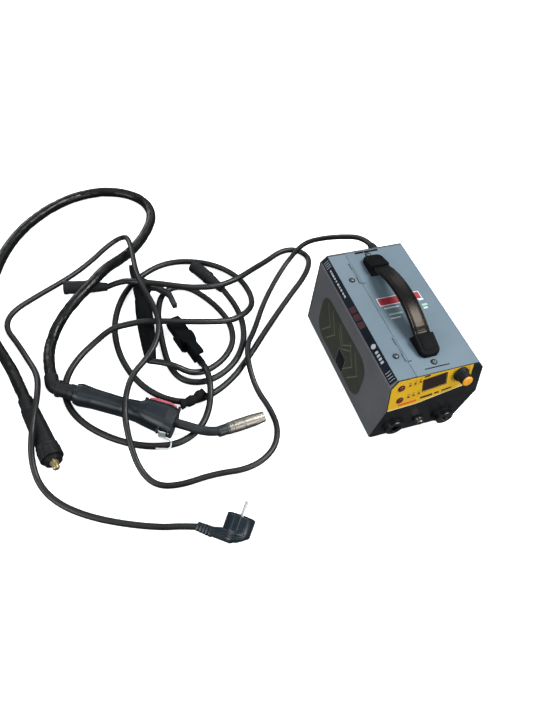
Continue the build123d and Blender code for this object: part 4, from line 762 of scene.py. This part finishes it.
def flatPiece(name, face, outlines, thickMm, finish, body, sinkMm=0.05):
    # thin plates on one face, each from a closed outline in mm
    origin, across, up = faces[face]
    out = across.cross(up)
    plate = bmesh.new()
    for outline in outlines:
        skinRings(plate, [
            [plate.verts.new(origin + (across * x + up * y + out * lift) * 0.001) for x, y in outline]
            for lift in (-sinkMm, thickMm)
        ])
    addPiece(name, plate, finish, body)


def roundedBox(x, y, width, height, radius, turn=0, steps=5):
    outline = []
    spin = Matrix.Rotation(math.radians(turn), 2)
    for corner, (sideX, sideY) in enumerate(((1, 1), (-1, 1), (-1, -1), (1, -1))):
        for step in range(steps + 1):
            angle = math.radians(90 * (corner + step / steps))
            point = Vector((
                sideX * (width / 2 - radius) + radius * math.cos(angle),
                sideY * (height / 2 - radius) + radius * math.sin(angle),
            ))
            outline.append(tuple(spin @ point + Vector((x, y))))
    return outline


def band(points, width):
    # an even stripe along a line of points, with mitred corners
    points = [Vector(point) for point in points]
    sides = ([], [])
    for i, point in enumerate(points):
        before = (point - points[i - 1]).normalized() if i else None
        after = (points[i + 1] - point).normalized() if i + 1 < len(points) else None
        first, second = before or after, after or before
        left = Vector((-first.y - second.y, first.x + second.x)).normalized()
        reach = width / 2 / max(left.dot(Vector((-first.y, first.x))), 0.4)
        sides[0].append(tuple(point + left * reach))
        sides[1].append(tuple(point - left * reach))
    return sides[0] + sides[1][::-1]


def roundPiece(name, places, axis, profile, finish, body, sides=28, smooth=40):
    # turned pieces at several places: the profile is distance along the axis and radius in mm
    axis = Vector(axis).normalized()
    side = axis.orthogonal().normalized()
    other = axis.cross(side)
    solid = bmesh.new()
    for place in places:
        rings = []
        for along, radius in profile:
            middle = mm(*place) + axis * along * 0.001
            count = sides if radius > 0 else 1
            rings.append([
                solid.verts.new(middle + (side * math.cos(turn) + other * math.sin(turn)) * radius * 0.001)
                for turn in (2 * math.pi * step / sides for step in range(count))
            ])
        for first, second in zip(rings, rings[1:]):
            for step in range(sides):
                corners = [first[step - 1], first[step]] if len(first) > 1 else [first[0]]
                corners += [second[step], second[step - 1]] if len(second) > 1 else [second[0]]
                solid.faces.new(corners)
    return addPiece(name, solid, finish, body, smooth)


def makeInk(name, tones, patchMm=6):
    # screen ink: thin, even and slightly rough, blotched over some mm
    return makeFinish(
        name, tones=tones, patchMm=patchMm, grainMm=(0.5, 0.01), roughness=(0.4, 0.5), edgeMm=0.05,
    )


redInk = makeInk("redScreenInk", ("#8a1f2d", "#992a37"))
paleInk = makeInk("paleScreenInk", ("#b9c6cd", "#c8d3d8"))
blackInk = makeInk("blackScreenInk", ("#1a1712", "#26221a"))
# pale cream for the panel's lower bevel: painted highlight where the bevel catches the light
bevelHighlightPaint = makeInk("paintedBevelHighlight", ("#d8cda0", "#e4dab2"))
orangeInk = makeInk("orangeRedScreenInk", ("#c8501c", "#d25d26"))
oliveInk = makeInk("darkOliveInk", ("#2e3129", "#373a32"), 25)
oliveLine = makeInk("paleOliveInk", ("#5f6052", "#6b6c5d"))
maroonInk = makeInk("maroonInk", ("#33161b", "#431c21"), 9)
greyInk = makeInk("greyInk", ("#9aa3a8", "#a9b1b5"))
greenInk = makeInk("paleGreenInk", ("#8fb5a4", "#9cc0b0"))
# glossy printed film on the chamfer
stripFilm = makeFinish(
    "glossyVinylFilm", tones=("#10161e", "#161e28"), patchMm=30, grainMm=(2, 0.01), roughness=(0.3, 0.4),
    edgeMm=0.1, ior=1.5, specular=0.15,
)
# smoked acrylic window, brown black, polished
smokedWindow = makeFinish(
    "smokedAcrylic", tones=("#1d1512", "#271c18"), patchMm=20, grainMm=(4, 0.01), roughness=(0.08, 0.14),
    edgeMm=0.2, ior=1.49, coat=0.4, coatRoughness=0.05,
)
# unlit lamp lenses: small, deep red and polished
lampLens = makeFinish(
    "dimLampLens", tones=("#4a1a0e", "#5e2414"), patchMm=3, grainMm=(0.5, 0.01), roughness=(0.12, 0.2),
    edgeMm=0.2, ior=1.54,
)
# flat black crosses set into the screw heads: painted shade of their cross recesses
recessShadePaint = makeFinish(
    "paintedRecessShade", tones=("#08090a", "#0e0f11"), patchMm=3, grainMm=(0.5, 0.01), roughness=(0.4, 0.6),
)

# control panel prints: x across and s down the slope, in mm; a bar is both ends, as x and -s, and a width
panelSet = {
    # lower is a pale band on the panel's lower bevel: painted highlight, not print
    "lower": [(-72.2, 55.3), (-27, 52.9), (56.6, 38)], "lowerWidth": 1.1,
    "display": (-3.2, 19.4, 37.3, 21.8, 6.8), "displayFrame": ((0.6, 1), (2.4, 1.6)),
    "keys": [(-56.7, 16.4), (-55.5, 39)], "keyRing": (3.7, 5.7),
    "lamps": [(-43.5, 14.1), (-42.4, 36)], "lampStep": (8, -1.4), "lampRow": 3,
    "lens": [(0.1, 1.75), (0.7, 1.7), (1.2, 1.2), (1.4, 0)], "lampBar": ((-2.2, 3.5), (2.2, 4.1), 0.8),
    "dial": (38, 15), "ticks": (13.2, 15.6, 24), "tickTurn": (-60, 300), "tickWithin": (55.5, -3.2),
    "tickWidth": 0.7,
    "bars": [
        ((-22, -44), (-2.6, -42.3), 3.8), ((0.7, -41.4), (7.6, -40.7), 3.2),
        ((12, -39.7), (28, -37.6), 2.8), ((-22.5, -4.9), (-13.5, -4.1), 3),
    ],
    "redBar": ((-56.8, -48.6), (-27.9, -46.4), 3.8),
}


def ringPlates(outer, inner):
    # the border between two matching outlines, as four-cornered plates
    return [[outer[i - 1], outer[i], inner[i], inner[i - 1]] for i in range(len(outer))]


def printPanel(look):
    origin, across, up = faces["panel"]
    # painted highlight along the panel's lower bevel
    lower = band([(x, -s) for x, s in look["lower"]], look["lowerWidth"])
    flatPiece("panelBevelHighlight", "panel", [lower], 0.1, bevelHighlightPaint, "machine")
    x, s, width, height, turn = look["display"]
    window = roundedBox(x, -s, width, height, 1, turn)
    flatPiece("displayWindow", "panel", [window], -0.25, smokedWindow, "machine", 1.1)
    inner, outer = (
        roundedBox(x, -s, width + wider, height + wider, radius, turn)
        for wider, radius in look["displayFrame"]
    )
    flatPiece("displayFrame", "panel", ringPlates(outer, inner), 0.1, blackInk, "machine")
    hole, rim = look["keyRing"]
    plates = []
    for x, s in look["keys"]:
        plates += ringPlates(circle(x, -s, rim), circle(x, -s, hole))
    flatPiece("keyRings", "panel", plates, 0.12, maroonInk, "machine")
    lamps = []
    marks = []
    left, right, thick = look["lampBar"]
    for x, s in look["lamps"]:
        for step in range(look["lampRow"]):
            lampX, lampS = x + look["lampStep"][0] * step, s + look["lampStep"][1] * step
            lamps.append((origin + (across * lampX - up * lampS) * 0.001) * 1000)
            marks.append(band([(lampX + barX, -lampS + barY) for barX, barY in (left, right)], thick))
    roundPiece("lampLenses", lamps, across.cross(up), look["lens"], lampLens, "machine", 16)
    x, s = look["dial"]
    near, far, count = look["ticks"]
    first, sweep = look["tickTurn"]
    for step in range(count + 1):
        angle = math.radians(first + sweep * step / count)
        root, tip = ((x + reach * math.cos(angle), -s + reach * math.sin(angle)) for reach in (near, far))
        if tip[0] < look["tickWithin"][0] and tip[1] < look["tickWithin"][1]:
            marks.append(band([root, tip], look["tickWidth"]))
    marks += [band([start, end], thick) for start, end, thick in look["bars"]]
    flatPiece("panelMarks", "panel", marks, 0.1, blackInk, "machine")
    start, end, thick = look["redBar"]
    flatPiece("panelRedBar", "panel", [band([start, end], thick)], 0.1, orangeInk, "machine")


printPanel(panelSet)

# prints on the top: a red bar in a pale border that runs under the strap, and plain pale and green bars
# before it; each is x, y, width and height
topSet = {
    "bar": (6.5, 13.2, 69, 13.5), "border": 1.3,
    "pale": [(-13, 0, 25, 2), (-16, -20, 17, 2), (39, 4, 8, 3), (38, -13, 7, 3)],
    "green": [(-12, -12.5, 22, 3), (39.5, -7, 9, 4)],
}


def printTop(look):
    x, y, width, height = look["bar"]
    edge = look["border"]
    border = roundedBox(x, y, width + 2 * edge, height + 2 * edge, 1)
    flatPiece("topBarBorder", "top", [border], 0.06, paleInk, "machine")
    flatPiece("topBar", "top", [roundedBox(x, y, width, height, 0.6)], 0.1, redInk, "machine")
    for name, key, ink in (("topPaleBars", "pale", paleInk), ("topGreenBars", "green", greenInk)):
        flatPiece(name, "top", [roundedBox(*bar, 0.6) for bar in look[key]], 0.08, ink, "machine")


printTop(topSet)

# matt black plates at the slots in the top, painted shade of the slots: one below the front slot, and two at
# the rear that lie flat over theirs
slotSet = {
    "front": {"tabs": [(0.9, -117, 41, 3)], "bottom": -2.6, "top": -1.6},
    "rear": {"tabs": [(-12.4, 119, 14.6, 3.4), (8.1, 119, 24.4, 3.4)], "bottom": -0.05, "top": 0.3},
}
for end, look in slotSet.items():
    tabs = [roundedBox(*tab, 0.5) for tab in look["tabs"]]
    flatPiece(end + "SlotShadePlates", "top", tabs, look["top"], capMatt, "machine", -look["bottom"])

# film along the door's chamfer, up against the top: navy black, fine grey lines at both ends, maroon slants
# in the middle, a row of pale dashes before them, and a pale dot with four pale blocks after them
stripSet = {
    "size": (246, 12.8), "rise": 1,
    "lines": (-116, -112, -108, -104, 105, 109.5, 114, 118.5), "lineHalf": 4.6, "lineWidth": 0.8,
    "slants": (-14, 1, 16), "slant": [(-7, -4.8), (5, -4.8), (8, 4.8), (-4, 4.8)],
    "dashes": [
        (-96, 4), (-91, 3), (-86, 5), (-80, 4), (-74, 3), (-67, 5), (-61, 3), (-55, 5), (-48, 4), (-42, 5),
    ],
    "dash": (-0.6, 2.6), "dot": (58, 1, 4), "blocks": (69, 75, 81, 87), "block": (3.8, 5.4),
}


def printStrip(look):
    rise = look["rise"]
    flatPiece("chamferFilm", "chamfer", [roundedBox(0, rise, *look["size"], 0.6)], 0.12, stripFilm, "door")
    half = look["lineHalf"]
    lines = [band([(x, rise - half), (x, rise + half)], look["lineWidth"]) for x in look["lines"]]
    flatPiece("chamferLines", "chamfer", lines, 0.17, greyInk, "door")
    slants = [[(x + cornerX, rise + cornerY) for cornerX, cornerY in look["slant"]] for x in look["slants"]]
    flatPiece("chamferSlants", "chamfer", slants, 0.16, maroonInk, "door")
    shift, tall = look["dash"]
    pale = [roundedBox(x, rise + shift, width, tall, 0.4) for x, width in look["dashes"]]
    pale += [roundedBox(x, rise, *look["block"], 1) for x in look["blocks"]] + [circle(*look["dot"])]
    flatPiece("chamferPaleMarks", "chamfer", pale, 0.16, greyInk, "door")


printStrip(stripSet)

# door print: a rounded dark field round the latch, with nested pale chevrons
doorSet = {
    "field": (-10, 68, 158, 84, 26), "gap": (-12.5, 14.5, 62), "lineWidth": 1.6,
    "chevron": [(-10, 100), (12, 68), (-10, 36)], "chevrons": (-62, -44, 22, 40),
    "peaks": [[(-26, 100), (-4, 76), (18, 100)], [(-26, 88), (-4, 66.5), (18, 88)]],
}


def printDoor(look):
    x, z, width, height, radius = look["field"]
    left, right, notchTop = look["gap"]
    field = roundedBox(x, z, width, height, radius, steps=10)
    lowest = z - height / 2
    cut = next(i for i in range(len(field)) if abs(field[i][1] - lowest) < 0.01 and field[i][0] < 0)
    notch = [(left, lowest), (left, notchTop), (right, notchTop), (right, lowest)]
    flatPiece("doorField", "door", [field[:cut + 1] + notch + field[cut + 1:]], 0.08, oliveInk, "door")
    lines = [[(shift + y, z) for y, z in look["chevron"]] for shift in look["chevrons"]] + look["peaks"]
    stripes = [band(line, look["lineWidth"]) for line in lines]
    flatPiece("doorLines", "door", stripes, 0.13, oliveLine, "door")


printDoor(doorSet)
print("prints laid")

# pan-head screws through the door's strip, black washers under those on top whose black is partly painted
# shade, and black crosses in every screw as painted shade of its cross recess; a screw is its place and
# axis, a profile is distance along the axis and radius
screwSet = {
    "door": [((-48.6, 65.9, 150), (0, 0, 1)), ((-48.8, -85.5, 150), (0, 0, 1))],
    "cover": [
        ((0, 112.4, 150), (0, 0, 1)), ((0, -108.6, 150), (0, 0, 1)),
        ((75, -100, 15), (1, 0, 0)), ((75, 100, 15), (1, 0, 0)),
        ((-62, 125, 16), (0, 1, 0)), ((62, 125, 16), (0, 1, 0)),
        ((-60, 125, 140), (0, 1, 0)), ((60, 125, 140), (0, 1, 0)),
    ],
    "head": [(0, 3.4), (1, 3.4), (1.7, 2.6), (2.1, 1.4), (2.15, 0)],
    "washer": [(-0.05, 3.3), (-0.05, 5), (0.5, 4.8), (0.6, 3.55), (0.6, 3.3), (-0.05, 3.3)],
    "crossHalf": 0.35, "crossReach": 1.5, "crossSpan": (1.7, 2.16),
}


# black crosses sunk into the screw heads, standing for their cross recesses: painted shade
def paintScrewRecessShade(name, screws, body, look):
    half, reach = look["crossHalf"], look["crossReach"]
    quarter = [(half, half), (half, reach), (-half, reach)]
    cross = []
    for turn in range(4):
        cross += quarter
        quarter = [(-y, x) for x, y in quarter]
    recess = bmesh.new()
    for place, axis in screws:
        out = Vector(axis)
        side = out.orthogonal().normalized()
        other = out.cross(side)
        skinRings(recess, [
            [recess.verts.new(mm(*place) + (side * x + other * y + out * height) * 0.001) for x, y in cross]
            for height in look["crossSpan"]
        ])
    addPiece(name, recess, recessShadePaint, body)


def fitScrews(look):
    up = (0, 0, 1)
    doorTop, coverTop = ([place for place, axis in look[key] if axis == up] for key in ("door", "cover"))
    roundPiece("doorScrews", doorTop, up, look["head"], screwZinc, "door", 24)
    # washers under the top screws: real washers, whose black is partly painted shade round the heads
    roundPiece("doorWashers", doorTop, up, look["washer"], blackSteel, "door")
    roundPiece("coverWashers", coverTop, up, look["washer"], blackSteel, "machine")
    paintScrewRecessShade("doorScrewRecessShade", look["door"], "door", look)
    paintScrewRecessShade("coverScrewRecessShade", look["cover"], "machine", look)


fitScrews(screwSet)

# strap: one moulded length of polished vinyl with a dished top between raised rims, and grip grooves beside
# the front cap; half of its section runs from the underside, round the edge, to the middle of the dish
strapFinish = makeFinish(
    "polishedVinylStrap", tones=("#0d0d0e", "#151416"), patchMm=18, grainMm=(1.5, 0.02),
    roughness=(0.22, 0.3), ior=1.53, specular=0.18, tint=srgb("#ecdcc8"),
)
strapSet = {
    "middleY": 2.5, "foot": (80, 156), "bend": (52, 167.5), "crown": 176.5, "steps": 160,
    "halfSection": [
        (-11.3, -3.5), (-12.5, -2.3), (-12.5, 2.5), (-11.8, 3.5),
        (-10.3, 3.5), (-9.1, 2.94), (-4, 2.8), (0, 2.8),
    ],
    "grooves": (59, 62.2, 65.4, 68.6), "grooveDeep": 0.9, "grooveHalf": 0.9, "grooveAbove": 2,
}


def strapLine(look):
    # centre line as y and z, from the rear foot to the front foot
    footY, footZ = look["foot"]
    bendY, bendZ = look["bend"]
    rise = look["crown"] - bendZ
    radius = (bendY ** 2 + rise ** 2) / (2 * rise)
    line = []
    for step in range(look["steps"] + 1):
        y = footY - 2 * footY * step / look["steps"]
        if abs(y) > bendY:
            line.append((y, bendZ - (abs(y) - bendY) * (bendZ - footZ) / (footY - bendY)))
        else:
            line.append((y, look["crown"] - radius + math.sqrt(radius ** 2 - y ** 2)))
    return line


def buildStrap(look):
    line = strapLine(look)
    section = look["halfSection"] + [(-x, z) for x, z in look["halfSection"][-2::-1]]
    strap = bmesh.new()
    rings = []
    for i, (y, z) in enumerate(line):
        ahead = Vector(line[min(i + 1, look["steps"])]) - Vector(line[max(i - 1, 0)])
        ahead.normalize()
        up = Vector((ahead.y, -ahead.x))
        nearest = min(abs(-y - groove) for groove in look["grooves"])
        cut = look["grooveDeep"] * max(0, 1 - nearest / look["grooveHalf"])
        ring = []
        for x, lift in section:
            lift -= cut if lift > look["grooveAbove"] else 0
            ring.append(strap.verts.new(mm(x, y + look["middleY"] + up.x * lift, z + up.y * lift)))
        rings.append(ring)
    skinRings(strap, rings)
    piece = addPiece("strapGrip", strap, strapFinish, "machine", 35)
    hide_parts("handle_grip")


buildStrap(strapSet)

# raised pad on the sloping top of each end cap, with rounded corners at its outer end
padSet = {
    "reach": (72, 96.5), "half": 10.5, "corner": 6, "crest": (71, 165.5), "fall": 0.269,
    "rings": [(0, -0.4), (0, 0.5), (0.8, 0.9)],
}


def padCaps(look):
    near, far = look["reach"]
    half, corner = look["half"], look["corner"]
    outline = [(-half, near), (half, near)]
    for middle, start in ((half - corner, 0), (corner - half, 90)):
        for step in range(7):
            turn = math.radians(start + 15 * step)
            outline.append((middle + corner * math.cos(turn), far - corner + corner * math.sin(turn)))
    pads = bmesh.new()
    for end in (-1, 1):
        rings = []
        for inset, lift in look["rings"]:
            ring = []
            for x, reach in outline:
                x -= math.copysign(inset, x)
                reach += inset if reach < near + 0.01 else -inset * (reach - near) / (far - near)
                height = look["crest"][1] - look["fall"] * (reach - look["crest"][0]) + lift
                ring.append(pads.verts.new(mm(x, strapSet["middleY"] + end * reach, height)))
            rings.append(ring)
        skinRings(pads, rings)
    addPiece("capPads", pads, capMatt, "machine", 35)


padCaps(padSet)

# turns of wire on the spool, drawn 1.6 mm apart to show, as one ridged ring
windingSet = {
    "axis": (10, 52, 68), "span": (29.6, 69.4), "radius": 42.4, "drum": 20.1, "pitch": 1.6, "ridge": 0.7,
}


def windSpool(look):
    start, end = look["span"]
    valley = look["radius"] - look["ridge"]
    profile = [(start, look["drum"])]
    count = int((end - start) / look["pitch"])
    for step in range(count):
        along = start + (end - start) * step / count
        profile += [(along, valley), (along + look["pitch"] / 2, look["radius"])]
    profile += [(end, valley), (end, look["drum"]), (start, look["drum"])]
    piece = roundPiece("wireTurns", [look["axis"]], (-1, 0, 0), profile, copperWire, "spool", 48, 20)
    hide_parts("wire_winding")


windSpool(windingSet)
print("small pieces placed")
